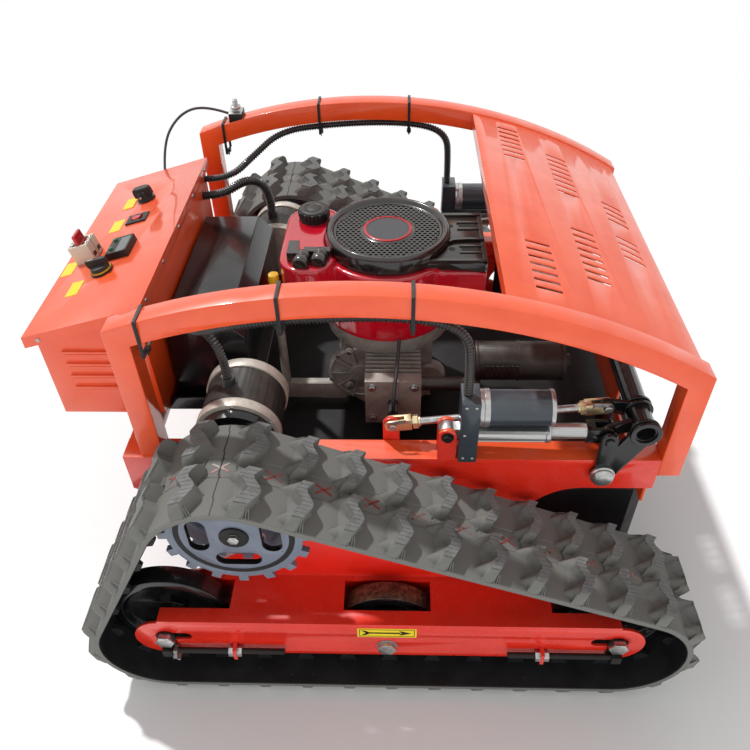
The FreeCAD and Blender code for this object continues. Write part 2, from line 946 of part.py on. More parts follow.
def make_control_box():
    depth = size.sheet + size.running_gap
    rear = size.box_rear_x
    front = size.box_front_x

    def profile(inset, floor, top_extra):
        low = size.box_bottom + floor
        return [
            (rear + inset, low),
            (front - inset, low),
            (front - inset, lid_top(front - inset) - depth + top_extra),
            (rear + inset, lid_top(rear + inset) - depth + top_extra),
        ]

    half = size.box_half_width
    shell = padded("y", profile(measure(0), measure(0), measure(0)), (-half, half))
    inner_half = half - size.sheet
    hollow_profile = profile(size.sheet, size.sheet, size.overrun)
    hollow = padded("y", hollow_profile, (-inner_half, inner_half))
    hoods = []
    slots = []
    x = (size.louvre_rear_x, size.louvre_rear_x + size.louvre_length)
    for word, side in SIDES:
        for index in range(4):
            low = size.louvre_low_z + size.louvre_pitch * index
            y = span(side, half, half + size.louvre_depth)
            hoods.append(block(x, y, (low + size.louvre_height / 2, low + size.louvre_height)))
            y_slot = span(side, inner_half - size.sheet, half + size.sheet)
            slots.append(block(x, y_slot, (low, low + size.louvre_height / 2)))
    node("control_box", cut(fuse(shell, *hoods), hollow, *slots))

    def lid_profile(inset, top_inset, drop):
        rear_x = size.lid_rear_x + inset
        front_x = size.lid_front_x - inset
        low = size.lid_lip + drop
        return [
            (rear_x, lid_top(rear_x) - low),
            (front_x, lid_top(front_x) - low),
            (front_x, lid_top(front_x) - top_inset),
            (rear_x, lid_top(rear_x) - top_inset),
        ]

    lid_half = size.lid_half_width
    lid = padded("y", lid_profile(measure(0), measure(0), measure(0)), (-lid_half, lid_half))
    lid_inner = lid_half - size.sheet
    hollow_lid = lid_profile(size.sheet, size.sheet, size.overrun)
    under = padded("y", hollow_lid, (-lid_inner, lid_inner))
    depth = (-size.overrun, size.overrun)
    gap = size.running_gap
    body_half_length = size.switch_half_length - size.switch_wall + gap
    body_half_width = size.switch_half_width - size.switch_wall + gap
    zero = measure(0)
    openings = [
        on_lid(group(rod("z", size.spindle_radius + gap, depth, 0, 0)), size.rotary_x, size.rotary_y),
        on_lid(group(rod("z", size.spindle_radius + gap, depth, 0, 0)), size.selector_x, size.selector_y),
    ]
    rectangles = (
        (body_half_length, body_half_width, size.switch_x, size.switch_y),
        (size.breaker_half_length + gap, size.breaker_half_width + gap, size.breaker_x, size.breaker_y),
        (
            size.meter_half_length - size.meter_rim + gap,
            size.meter_half_width - size.meter_rim + gap,
            size.meter_x,
            size.meter_y,
        ),
    )
    for half_length, half_width, x_place, y_place in rectangles:
        opening = group(block(about(zero, half_length), about(zero, half_width), depth))
        openings.append(on_lid(opening, x_place, y_place))
    node("control_box_lid", cut(lid, under, *openings))


def make_carrier():
    wall = size.tube_wall
    x = (size.rail_rear_x, size.rail_rear_x + size.tube_width)
    tube = block(x, (-rail_inner, rail_inner), (size.rail_bottom, rail_top))
    x_bore = (x[0] + wall, x[1] - wall)
    y_bore = (-rail_inner - size.overrun, rail_inner + size.overrun)
    bore = block(x_bore, y_bore, (size.rail_bottom + wall, rail_top - wall))
    bars = []
    for word, side in SIDES:
        y = span(side, size.bar_inner_y, size.bar_inner_y + size.bar_width)
        bars.append(block((size.bar_rear_x, x[1]), y, (rail_top, size.box_bottom)))
    node("rear_carrier", fuse(cut(tube, bore), *bars))
    tray_z = (size.rail_bottom - size.tray_thickness, size.rail_bottom)
    half = size.tray_half_width
    pieces = [block((size.rail_rear_x, size.tray_front_x), (-half, half), tray_z)]
    for word, side in SIDES:
        y = span(side, half - size.tray_thickness, half)
        flange_z = (size.rail_bottom, size.rail_bottom + size.tray_flange)
        pieces.append(block((x[1], size.tray_front_x), y, flange_z))
    node("battery_tray", fuse(*pieces))


def make_battery():
    half = size.cover_half_width
    sheet_metal = size.deck_sheet
    low = size.rail_bottom

    def profile(inset, drop):
        rear = size.cover_rear_x + inset
        front = size.cover_front_x - inset
        top = size.cover_top - inset
        return [
            (rear, low - drop),
            (front, low - drop),
            (front, top - size.cover_chamfer),
            (front - size.cover_chamfer, top),
            (rear, top),
        ]

    cover = padded("y", profile(measure(0), measure(0)), (-half, half))
    inner_half = half - sheet_metal
    hollow = padded("y", profile(sheet_metal, size.overrun), (-inner_half, inner_half))
    node("battery_cover", cut(cover, hollow))
    margin = size.battery_margin
    x = (size.cover_rear_x + margin, size.cover_front_x - margin)
    case = block(x, (-size.battery_half_width, size.battery_half_width), (low, low + size.battery_height))
    posts = []
    for word, side in SIDES:
        y_post = (size.battery_half_width - size.battery_margin * 2) * side
        z_post = (low + size.battery_height, low + size.battery_height + margin)
        posts.append(rod("z", margin / 2, z_post, x[0] + margin, y_post))
    node("battery", fuse(case, *posts))
    floor = size.box_bottom + size.sheet
    x = (size.box_front_x - size.controller_margin - size.controller_length, size.box_front_x - size.controller_margin)
    case = block(x, about(measure(0), size.controller_half_width), (floor, floor + size.controller_height))
    node("motor_controller", case)


def make_drive_motors():
    for word, side in SIDES:
        outer = size.motor_outer_y
        ring = size.motor_ring_width
        inner = size.motor_inner_y
        x = size.motor_x
        z = size.motor_z
        pieces = [
            rod("y", size.motor_radius, span(side, inner + ring, outer - ring), x, z),
            rod("y", size.motor_ring_radius, span(side, inner, inner + ring), x, z),
            rod("y", size.motor_ring_radius, span(side, outer - ring, outer), x, z),
            link(x, z, size.sprocket_x, size.sprocket_z, size.gearbox_radius, span(side, outer, plate_inner)),
        ]
        gland_y = (inner + outer) / 2 * side
        gland_z = (z + size.motor_radius - size.gland_height, z + size.motor_radius + size.gland_rise)
        pieces.append(rod("z", size.gland_radius, gland_z, x - size.gland_shift, gland_y))
        y_bore = span(side, plate_inner - size.shaft_depth - size.running_gap, plate_inner + size.overrun)
        bore = rod("y", size.shaft_radius + size.fit_gap, y_bore, size.sprocket_x, size.sprocket_z)
        node("drive_motor_" + word, cut(fuse(*pieces), bore))


belt_middle = size.belt_inner_y + size.belt_width / 2
belt_outer = size.belt_inner_y + size.belt_width


def make_sprockets():
    x = size.sprocket_x
    z = size.sprocket_z
    outer_face = belt_middle + size.sprocket_half_width
    inner_face_y = belt_middle - size.sprocket_half_width
    tip = size.drive_loop_radius - size.wheel_gap
    rim = tip - size.tooth_height
    for word, side in SIDES:
        plate_y = span(side, outer_face - size.sprocket_plate, outer_face)
        back_y = span(side, inner_face_y, inner_face_y + size.sprocket_plate)
        pieces = [rod("y", rim, plate_y, x, z), rod("y", rim, back_y, x, z)]
        for index in range(int(SIZES["tooth_count"])):
            degrees = 360 * index / SIZES["tooth_count"]
            start = polar(x, z, rim - size.tooth_height, degrees)
            end = polar(x, z, tip - size.wheel_gap, degrees)
            for y in (plate_y, back_y):
                pieces.append(bar(*start, *end, size.tooth_width / 2, y))
        windows = []
        for index in range(4):
            middle = 90 * index - 90
            first = polar(x, z, size.kidney_circle, middle - SIZES["kidney_reach"])
            last = polar(x, z, size.kidney_circle, middle + SIZES["kidney_reach"])
            y = span(side, inner_face_y - size.overrun, outer_face + size.overrun)
            windows.append(link(*first, *last, size.kidney_radius, y))
        groove_y = span(side, outer_face - size.groove_depth, outer_face + size.overrun)
        groove = cut(
            rod("y", size.groove_radius, groove_y, x, z),
            rod("y", size.groove_radius - size.groove_width, groove_y, x, z),
        )
        hub_y = span(side, inner_face_y + size.sprocket_plate, outer_face - size.sprocket_plate)
        hub = rod("y", size.sprocket_hub_radius, hub_y, x, z)
        washer_y = span(side, outer_face, outer_face + size.groove_depth)
        washer = rod("y", size.sprocket_washer_radius, washer_y, x, z)
        bolt_low = outer_face + size.groove_depth
        bolt = hexagon("y", size.nut_radius, span(side, bolt_low, bolt_low + size.sheet * 2), x, z)
        shaft_y = span(side, plate_inner - size.shaft_depth, inner_face_y)
        shaft = rod("y", size.shaft_radius, shaft_y, x, z)
        wheel = cut(fuse(*pieces, hub), *windows, groove)
        node("drive_sprocket_" + word, fuse(wheel, washer, bolt, shaft))


def wheel_body(x, z, radius, side):
    """A dished wheel on the belt's middle line that turns on an axle bolt."""
    half = size.wheel_half_width
    bore = size.axle_radius + size.fit_gap
    hub = size.hub_radius
    web = size.web_half_thickness
    bed = radius - size.rim_depth
    outline = [
        (bore, -half - size.hub_overhang),
        (hub, -half - size.hub_overhang),
        (hub, -web),
        (bed - size.rim_slope, -web),
        (bed, -half),
        (radius, -half),
        (radius, half),
        (bed, half),
        (bed - size.rim_slope, web),
        (hub, web),
        (hub, half + size.hub_overhang),
        (bore, half + size.hub_overhang),
    ]
    wheel = turned("y", outline, x, z)
    bind(wheel, "Placement.Base.y", belt_middle * side)
    return wheel


idler_radius = size.idler_loop_radius - size.wheel_gap
ground_run = size.lug_height + size.belt_carcass
roller_z = ground_run + size.roller_radius + size.roller_lift


def make_wheels():
    for word, side in SIDES:
        node("front_idler_" + word, wheel_body(size.idler_front_x, size.axle_z, idler_radius, side))
        node("rear_idler_" + word, wheel_body(size.idler_rear_x, size.axle_z, idler_radius, side))
        node("track_roller_" + word, wheel_body(size.roller_x, roller_z, size.roller_radius, side))


def make_track_frames():
    beam_outer = size.beam_inner_y + size.beam_thickness
    wall_outer = size.wall_inner_y + size.wall_thickness
    radius = (size.beam_top - size.beam_bottom) / 2
    middle = (size.beam_top + size.beam_bottom) / 2
    web_z = (size.beam_top, size.beam_top + size.beam_thickness)
    reach = (size.beam_rear_x, size.beam_front_x)
    for word, side in SIDES:
        y_beam = span(side, size.beam_inner_y, beam_outer)
        rear = size.beam_rear_x + radius
        front = size.beam_front_x - radius
        beam = link(rear, middle, front, middle, radius, y_beam)
        strap = block((rear, front), span(side, size.beam_inner_y, beam_outer), web_z)
        web = block((rear, front), span(side, wall_outer, size.beam_inner_y), web_z)
        outline = [
            (reach[0], size.beam_bottom),
            (reach[1], size.beam_bottom),
            (reach[1], size.wall_front_end_z),
            (size.wall_front_x, size.wall_front_z),
            (size.wall_peak_x, size.wall_peak_z),
            (size.wall_shoulder_x, size.wall_shoulder_z),
            (size.wall_rear_x, size.wall_rear_z),
            (reach[0], size.beam_top),
        ]
        wall = padded("y", outline, span(side, size.wall_inner_y, wall_outer))
        mounts = []
        for x in (size.mount_rear_x, size.mount_front_x):
            y = span(side, size.chassis_half_width, size.wall_inner_y)
            z = (size.plate_low_z, size.plate_low_z + size.mount_width)
            mounts.append(block((x, x + size.mount_width), y, z))
        tabs = []
        for x in (size.tension_rear_tab, size.tension_front_tab):
            y = span(side, beam_outer, beam_outer + size.tab_reach)
            z = about(size.tension_rod_z, size.tab_half_height)
            tabs.append(block(about(x, size.tab_thickness / 2), y, z))
        opening = size.web_opening_half
        y_opening = span(side, belt_middle - opening, belt_middle + opening)
        z_opening = (web_z[0] - size.overrun, web_z[1] + size.overrun)
        y_through = span(side, size.wall_inner_y - size.overrun, beam_outer + size.overrun)
        slot = size.axle_radius + size.fit_gap
        tools = [
            block((reach[0] - size.overrun, size.web_rear_edge), y_opening, z_opening),
            block((size.web_front_edge, reach[1] + size.overrun), y_opening, z_opening),
            block(about(size.roller_x, size.window_half_length), y_opening, z_opening),
            rod("y", slot, y_through, size.roller_x, roller_z),
            link(
                size.idler_front_x - size.slot_reach,
                size.axle_z,
                size.idler_front_x + size.slot_reach / 4,
                size.axle_z,
                slot,
                y_through,
            ),
            link(
                size.idler_rear_x - size.slot_reach / 4,
                size.axle_z,
                size.idler_rear_x + size.slot_reach,
                size.axle_z,
                slot,
                y_through,
            ),
        ]
        rod_y = (beam_outer + size.tension_rod_shift) * side
        for x in (size.tension_rear_tab, size.tension_front_tab):
            hole = about(x, size.overrun)
            tools.append(rod("x", size.tension_rod_radius + size.fit_gap, hole, rod_y, size.tension_rod_z))
        frame = fuse(beam, strap, web, wall, *mounts, *tabs)
        node("track_frame_" + word, cut(frame, *tools))


def make_axles():
    beam_outer = size.beam_inner_y + size.beam_thickness
    bolts = []
    tensioners = []
    eye_outer = beam_outer + size.eye_thickness
    for word, side in SIDES:
        places = (
            (size.idler_front_x, size.axle_z, eye_outer),
            (size.idler_rear_x, size.axle_z, eye_outer),
            (size.roller_x, roller_z, beam_outer),
        )
        for x, z, seat in places:
            head = hexagon("y", size.bolt_head, span(side, seat, seat + size.bolt_head_height), x, z)
            shank = rod("y", size.axle_radius, span(side, size.wall_inner_y, seat), x, z)
            nut_y = span(side, size.wall_inner_y - size.bolt_head_height, size.wall_inner_y)
            nut = hexagon("y", size.bolt_head, nut_y, x, z)
            bolts.append(fuse(head, shank, nut))
        lever_nut = arm_inner_nut()
        head_y = span(side, size.chassis_half_width, size.chassis_half_width + size.bolt_head_height)
        stub_y = span(side, lever_nut[0], size.chassis_half_width)
        pieces = (
            hexagon("y", size.bolt_head, head_y, size.lever_x, size.lever_z),
            rod("y", size.pivot_radius, stub_y, size.lever_x, size.lever_z),
            hexagon("y", size.bolt_head, span(side, *lever_nut), size.lever_x, size.lever_z),
        )
        bolts.append(fuse(*pieces))
        pin_y = span(side, lug_inner - size.actuator_lug_thickness - size.pin_radius, size.chassis_half_width)
        bolts.append(rod("y", size.pin_radius, pin_y, size.actuator_x, push_z))
        rod_y = (beam_outer + size.tension_rod_shift) * side
        ends = (
            (size.idler_rear_x, size.tension_rear_end, size.tension_rear_tab),
            (size.idler_front_x, size.tension_front_end, size.tension_front_tab),
        )
        for x, end, tab in ends:
            eye_y = span(side, beam_outer, eye_outer)
            z_block = about(size.tension_rod_z, size.nut_radius)
            strap_x = about(x, size.axle_radius + size.eye_thickness)
            strap = block(strap_x, eye_y, (z_block[0], size.axle_z))
            eye = fuse(rod("y", size.bolt_head, eye_y, x, size.axle_z), strap)
            y_block = span(side, eye_outer, beam_outer + size.tab_reach)
            foot = block(about(x, size.nut_height), y_block, z_block)
            reach = (x, end) if float(x) < float(end) else (end, x)
            thread = rod("x", size.tension_rod_radius, reach, rod_y, size.tension_rod_z)
            nuts = []
            for low in (
                tab - size.tab_thickness / 2 - size.nut_height,
                tab + size.tab_thickness / 2,
            ):
                nut_reach = (low, low + size.nut_height)
                nuts.append(hexagon("x", size.nut_radius, nut_reach, rod_y, size.tension_rod_z))
            hole = rod("y", size.axle_radius, eye_y, x, size.axle_z)
            tensioners.append(cut(fuse(eye, foot, thread, *nuts), hole))
    node("pivot_and_axle_bolts", group(*bolts))
    node("track_tensioners", group(*tensioners))


def arm_inner_nut():
    """The y reach of the nut that holds a rear lever on its stub."""
    outer = size.arm_inner_y - size.fit_gap
    return (outer - size.ear_thickness, outer)


def track_circles():
    """Centre x, centre z and inner loop radius of the belt's three bends, rear to front over the top."""
    return (
        (float(size.idler_rear_x), float(size.axle_z), float(size.idler_loop_radius)),
        (float(size.sprocket_x), float(size.sprocket_z), float(size.drive_loop_radius)),
        (float(size.idler_front_x), float(size.axle_z), float(size.idler_loop_radius)),
    )


def track_pieces(offset):
    """The belt's loop at an offset from its inner face: for each bend its arc and the run after it."""
    circles = track_circles()
    normals = []
    for index, (x, z, radius) in enumerate(circles):
        next_x, next_z, next_radius = circles[(index + 1) % 3]
        run = Vector(next_x - x, 0, next_z - z)
        lean = math.asin((radius - next_radius) / run.Length)
        heading = math.atan2(run.z, run.x) + math.pi / 2 - lean
        normals.append(Vector(math.cos(heading), 0, math.sin(heading)))
    pieces = []
    for index, (x, z, radius) in enumerate(circles):
        centre = Vector(x, 0, z)
        next_centre = Vector(circles[(index + 1) % 3][0], 0, circles[(index + 1) % 3][1])
        next_radius = circles[(index + 1) % 3][2]
        arrive = normals[index - 1]
        leave = normals[index]
        reach = radius + offset
        start = centre + arrive * reach
        end = centre + leave * reach
        turn = (math.atan2(arrive.z, arrive.x) - math.atan2(leave.z, leave.x)) % (2 * math.pi)
        run_end = next_centre + leave * (next_radius + offset)
        pieces.append((centre, reach, arrive, turn, start, end, leave, run_end))
    return pieces


def turned_normal(normal, turn):
    """A normal in the plane of constant y, turned clockwise seen from the right."""
    cosine = math.cos(turn)
    sine = math.sin(turn)
    return Vector(normal.x * cosine + normal.z * sine, 0, normal.z * cosine - normal.x * sine)


def track_wire(offset):
    edges = []
    for centre, reach, arrive, turn, start, end, leave, run_end in track_pieces(offset):
        middle = centre + turned_normal(arrive, turn / 2) * reach
        edges.append(Part.Arc(start, middle, end).toShape())
        edges.append(Part.makeLine(end, run_end))
    return Part.Wire(edges)


def track_stations(count, offset):
    """Points and outward normals at even steps along the middle of the carcass, lifted by offset."""
    half = float(size.belt_carcass) / 2
    pieces = track_pieces(half)
    total = 0
    for centre, reach, arrive, turn, start, end, leave, run_end in pieces:
        total += reach * turn + (run_end - end).Length
    stations = []
    for index in range(count):
        left = total * (index + LUG_PHASE_SHARE) / count
        for centre, reach, arrive, turn, start, end, leave, run_end in pieces:
            if left <= reach * turn:
                normal = turned_normal(arrive, left / reach)
                stations.append((centre + normal * (reach + offset - half), normal))
                break
            left -= reach * turn
            run = run_end - end
            if left <= run.Length:
                stations.append((end + run * (left / run.Length) + leave * (offset - half), leave))
                break
            left -= run.Length
    return stations


def frustum_on_belt(point, normal, y, outline, top_share, height):
    """A block that stands on the belt: its outline is (along, across) and shrinks to its top."""
    along = Vector(normal.z, 0, -normal.x)
    across = Vector(0, 1, 0)
    wires = []
    for lift, share in ((0, 1), (height, top_share)):
        base = point + Vector(0, y, 0) + normal * lift
        corners = [base + along * (u * share) + across * (v * share) for u, v in outline]
        wires.append(Part.makePolygon(corners + corners[:1]))
    return Part.makeLoft(wires, True, True)


def lug_outline():
    half_length = float(size.lug_half_length)
    half_width = float(size.lug_half_width)
    quarter = [(u * half_length, v * half_width) for u, v in LUG_QUARTER_SHARES]
    second = [(-u, v) for u, v in reversed(quarter)]
    upper = quarter + second
    return upper + [(-u, -v) for u, v in upper]


def horn_outline():
    half_length = float(size.horn_half_length)
    half_width = float(size.horn_width) / 2
    return [
        (half_length, half_width),
        (-half_length, half_width),
        (-half_length, -half_width),
        (half_length, -half_width),
    ]


def belt_shape(side):
    """The rubber belt with its two rows of lugs and two rows of guide horns."""
    carcass = float(size.belt_carcass)
    width = float(size.belt_width)
    outer = Part.Face(track_wire(carcass)).extrude(Vector(0, width, 0))
    inner = Part.Face(track_wire(0)).extrude(Vector(0, width, 0))
    loop = outer.cut(inner)
    low = float(span(side, size.belt_inner_y, belt_outer)[0])
    loop.translate(Vector(0, low, 0))
    middle = float(belt_middle) * side
    shift = (width - float(size.lug_half_width) * 2) / 2
    sunk = float(size.lug_root)
    count = SIZES["lug_count"]
    blocks = []
    for point, normal in track_stations(count, carcass - sunk):
        for hand in (-1, 1):
            y = middle + shift * hand
            height = float(size.lug_height) + sunk
            blocks.append(frustum_on_belt(point, normal, y, lug_outline(), LUG_TOP_SHARE, height))
    for point, normal in track_stations(count, sunk):
        for hand in (-1, 1):
            y = middle + (float(size.horn_shift) + float(size.horn_width) / 2) * hand
            height = float(size.horn_height) + sunk
            blocks.append(frustum_on_belt(point, -normal, y, horn_outline(), HORN_TOP_SHARE, height))
    return loop.fuse(blocks)


def make_belts():
    for word, side in SIDES:
        node("rubber_track_" + word, solid(belt_shape(side)))


tie_x = size.rocker_x - size.tie_arm_x
tie_z = size.rocker_z + size.tie_arm_z
push_x = size.rocker_x - size.push_arm_x
deck_front_pin_x = size.rocker_x - size.arm_length
deck_rear_pin_x = size.lever_x - size.arm_length
lever_tie_x = size.lever_x - size.tie_arm_x
lever_tie_z = size.lever_z + size.tie_arm_z
arm_outer_y = size.arm_inner_y + size.arm_thickness
ear_outer_y = size.arm_inner_y - size.ear_gap
ear_inner_y = ear_outer_y - size.ear_thickness
fork_inner_y = size.arm_inner_y - size.fork_gap - size.fork_cheek
fork_outer_y = arm_outer_y + size.fork_gap + size.fork_cheek


def make_rocker():
    pieces = []
    half = size.arm_half_width
    plate_inner_y = size.chassis_half_width + size.outer_plate_gap
    plate_outer_y = plate_inner_y + size.arm_thickness
    tube_x = size.torque_tube_x
    tube_z = size.torque_tube_z
    for word, side in SIDES:
        arm_y = span(side, size.arm_inner_y, arm_outer_y)
        plate_y = span(side, plate_inner_y, plate_outer_y)
        push_y = span(side, size.push_plate_y - size.push_plate_half, size.push_plate_y + size.push_plate_half)
        outer_half = size.outer_plate_half_width
        pieces += [
            link(size.rocker_x, size.rocker_z, deck_front_pin_x, size.rocker_z, half, arm_y),
            link(size.rocker_x, size.rocker_z, tie_x, tie_z, half, arm_y),
            link(tie_x, tie_z, tube_x, tube_z, half, arm_y),
            link(size.rocker_x, size.rocker_z, tube_x, tube_z, outer_half, plate_y),
            link(size.rocker_x, size.rocker_z, push_x, push_z, half, plate_y),
            link(push_x, push_z, tube_x, tube_z, size.push_plate_half_width, push_y),
            rod("y", size.pivot_radius, span(side, size.arm_inner_y, plate_outer_y), size.rocker_x, size.rocker_z),
            hexagon(
                "y",
                size.bolt_head,
                span(side, plate_outer_y, plate_outer_y + size.eye_thickness),
                size.rocker_x,
                size.rocker_z,
            ),
            rod(
                "y",
                size.pin_radius,
                span(side, size.push_plate_y - size.clevis_half_width - size.eye_thickness, plate_outer_y),
                push_x,
                push_z,
            ),
            rod(
                "y",
                size.deck_pin_radius,
                span(side, ear_inner_y - size.eye_thickness, arm_outer_y),
                deck_front_pin_x,
                size.rocker_z,
            ),
            rod("y", size.pin_radius, span(side, fork_inner_y - size.sheet, fork_outer_y + size.sheet), tie_x, tie_z),
        ]
    whole = (-plate_outer_y, plate_outer_y)
    pieces.append(rod("y", size.torque_tube_radius, whole, tube_x, tube_z))
    bore_radius = size.torque_tube_radius - size.torque_tube_wall
    bore = rod("y", bore_radius, (whole[0] - size.overrun, whole[1] + size.overrun), tube_x, tube_z)
    node("lift_rocker", cut(fuse(*pieces), bore))


def make_levers():
    for word, side in SIDES:
        arm_y = span(side, size.arm_inner_y, arm_outer_y)
        hub_y = span(side, size.arm_inner_y, plate_inner - size.fit_gap)
        x = size.lever_x
        z = size.lever_z
        half = size.arm_half_width
        pieces = [
            link(x, z, lever_tie_x, lever_tie_z, half, arm_y),
            link(x, z, deck_rear_pin_x, z, half, arm_y),
            rod("y", half, hub_y, x, z),
            rod("y", size.deck_pin_radius, span(side, ear_inner_y - size.eye_thickness, arm_outer_y), deck_rear_pin_x, z),
            rod(
                "y",
                size.pin_radius,
                span(side, fork_inner_y - size.sheet, fork_outer_y + size.sheet),
                lever_tie_x,
                lever_tie_z,
            ),
        ]
        bore_y = span(side, size.arm_inner_y - size.overrun, plate_inner + size.overrun)
        bore = rod("y", size.pivot_radius + size.fit_gap, bore_y, x, z)
        node("rear_lever_" + word, cut(fuse(*pieces), bore))


def make_tie_rods():
    run = tie_x - lever_tie_x
    rise = tie_z - lever_tie_z
    length = root(run * run + rise * rise)
    for word, side in SIDES:
        y_rod = (size.arm_inner_y + size.arm_thickness / 2) * side
        cheeks = []
        holes = []
        bases = []
        ends = ((tie_x, tie_z, -1), (lever_tie_x, lever_tie_z, 1))
        cheek_spans = (
            span(side, fork_inner_y, fork_inner_y + size.fork_cheek),
            span(side, fork_outer_y - size.fork_cheek, fork_outer_y),
        )
        for x, z, hand in ends:
            back_x = x + size.fork_length * run / length * hand
            back_z = z + size.fork_length * rise / length * hand
            neck_x = x + (size.fork_length - size.fork_base) * run / length * hand
            neck_z = z + (size.fork_length - size.fork_base) * rise / length * hand
            for y in cheek_spans:
                cheeks.append(rod("y", size.fork_half_width, y, x, z))
                cheeks.append(bar(x, z, back_x, back_z, size.fork_half_width, y))
            whole_y = span(side, fork_inner_y, fork_outer_y)
            bases.append(bar(neck_x, neck_z, back_x, back_z, size.fork_half_width, whole_y))
            hole_y = span(side, fork_inner_y - size.overrun, fork_outer_y + size.overrun)
            holes.append(rod("y", size.pin_radius + size.fit_gap, hole_y, x, z))
        shank = doc.addObject("Part::Cylinder", "Shank")
        bind(shank, "Radius", size.tie_rod_radius)
        bind(shank, "Height", length - size.fork_length * 2)
        shank.Placement.Rotation = Rotation(Vector(0, 1, 0), 1)
        bind(shank, "Placement.Rotation.Angle", slope_angle(run, rise))
        start_x = lever_tie_x + size.fork_length * run / length
        start_z = lever_tie_z + size.fork_length * rise / length
        place(shank, start_x, y_rod, start_z)
        node("tie_rod_" + word, cut(fuse(shank, *bases, *cheeks), *holes))


def make_actuators():
    for word, side in SIDES:
        y_eye = span(side, size.push_plate_y - size.actuator_eye_half, size.push_plate_y + size.actuator_eye_half)
        y_head = span(side, size.head_inner_y, size.head_outer_y)
        y_axis = size.push_plate_y * side
        motor_z = push_z + size.lift_motor_rise
        tube_x = (size.head_front_x, size.lift_motor_front_x)
        ring_radius = size.lift_motor_radius - size.lift_ring_rise
        pieces = [
            rod("y", size.actuator_eye_radius - size.lift_ring_rise, y_eye, size.actuator_x, push_z),
            block((size.actuator_x, size.head_rear_x), y_eye, about(push_z, size.eye_arm_half)),
            block((size.head_rear_x, size.head_front_x), y_head, (push_z - size.head_low, push_z + size.head_high)),
            rod("x", ring_radius, tube_x, size.push_plate_y * side, motor_z),
            rod("x", size.lift_motor_radius, (tube_x[0], tube_x[0] + size.lift_ring_width), y_axis, motor_z),
            rod("x", size.lift_motor_radius, (tube_x[1] - size.lift_ring_width, tube_x[1]), y_axis, motor_z),
            rod("x", size.lift_tube_radius, tube_x, y_axis, push_z),
        ]
        bore_x = (size.head_front_x + size.running_gap, size.lift_motor_front_x + size.overrun)
        y_pin = span(side, size.push_plate_y - size.tube_width, size.push_plate_y + size.tube_width)
        tools = (
            rod("x", size.lift_rod_radius + size.fit_gap, bore_x, y_axis, push_z),
            rod("y", size.pin_radius + size.fit_gap, y_pin, size.actuator_x, push_z),
        )
        node("actuator_" + word, cut(fuse(*pieces), *tools))
        half = size.clevis_half_width
        cheeks = []
        for low in (size.push_plate_y - half, size.push_plate_y + half - size.clevis_cheek):
            y = span(side, low, low + size.clevis_cheek)
            cheeks.append(rod("y", size.clevis_radius, y, push_x, push_z))
            cheeks.append(block((size.clevis_back_x, push_x), y, about(push_z, size.clevis_radius)))
        y_fork = span(side, size.push_plate_y - half, size.push_plate_y + half)
        base = block((size.clevis_rear_x, size.clevis_back_x), y_fork, about(push_z, size.clevis_radius))
        shaft_x = (size.lift_rod_rear_x, size.clevis_rear_x)
        shaft = rod("x", size.lift_rod_radius, shaft_x, y_axis, push_z)
        hole = rod("y", size.pin_radius + size.open_gap, y_pin, push_x, push_z)
        node("actuator_rod_" + word, cut(fuse(shaft, base, *cheeks), hole))


def make_deck():
    half = size.deck_half_width
    rear = size.deck_rear_x
    front = size.deck_front_x
    corner = size.deck_corner

    def plan(inset):
        wide = half - inset
        nose = half - corner - inset
        tail = half - corner * 2 - inset
        return [
            (rear + inset, -tail),
            (rear + corner * 2, -wide),
            (front - corner / 2, -wide),
            (front - inset, -nose - corner / 2),
            (front - inset, nose + corner / 2),
            (front - corner / 2, wide),
            (rear + corner * 2, wide),
            (rear + inset, tail),
        ]

    shell = padded("z", plan(measure(0)), (size.deck_bottom, size.deck_top))
    sheet_metal = size.deck_sheet
    hollow = padded("z", plan(sheet_metal), (size.deck_bottom - size.overrun, size.deck_top - sheet_metal))
    ears = []
    holes = []
    for word, side in SIDES:
        y = span(side, ear_inner_y, ear_outer_y)
        y_hole = span(side, ear_inner_y - size.overrun, ear_outer_y + size.overrun)
        for x, z in ((deck_front_pin_x, size.rocker_z), (deck_rear_pin_x, size.lever_z)):
            ears.append(block(about(x, size.ear_half_width), y, (size.deck_top - sheet_metal, z)))
            ears.append(rod("y", size.ear_half_width, y, x, z))
            holes.append(rod("y", size.deck_pin_radius + size.running_gap, y_hole, x, z))
        bolt_x = front - size.deck_bolt_inset
        bolt_y = (half - size.deck_bolt_inset * 3) * side
        bolt_z = (size.deck_top, size.deck_top + size.bolt_head_height)
        ears.append(hexagon("z", size.nut_radius, bolt_z, bolt_x, bolt_y))
    hub_z = (size.deck_top - size.overrun, size.deck_top + size.overrun)
    hub = rod("z", size.engine_flange_radius / 2, hub_z, size.engine_x, 0)
    node("mower_deck", cut(fuse(cut(shell, hollow), *ears), hub, *holes))


def spokes(count, inner, outer, width, z, centre_x):
    """Radial slots about the engine's axis."""
    tools = []
    for index in range(count):
        turn = 2 * math.pi * index / count
        box = doc.addObject("Part::Box", "Slot")
        bind(box, "Length", outer - inner)
        bind(box, "Width", width)
        bind(box, "Height", z[1] - z[0])
        box.Placement.Rotation = Rotation(Vector(0, 0, 1), math.degrees(turn))
        x = centre_x + inner * math.cos(turn) + width / 2 * math.sin(turn)
        y = inner * math.sin(turn) - width / 2 * math.cos(turn)
        place(box, x, y, z[0])
        tools.append(box)
    return tools


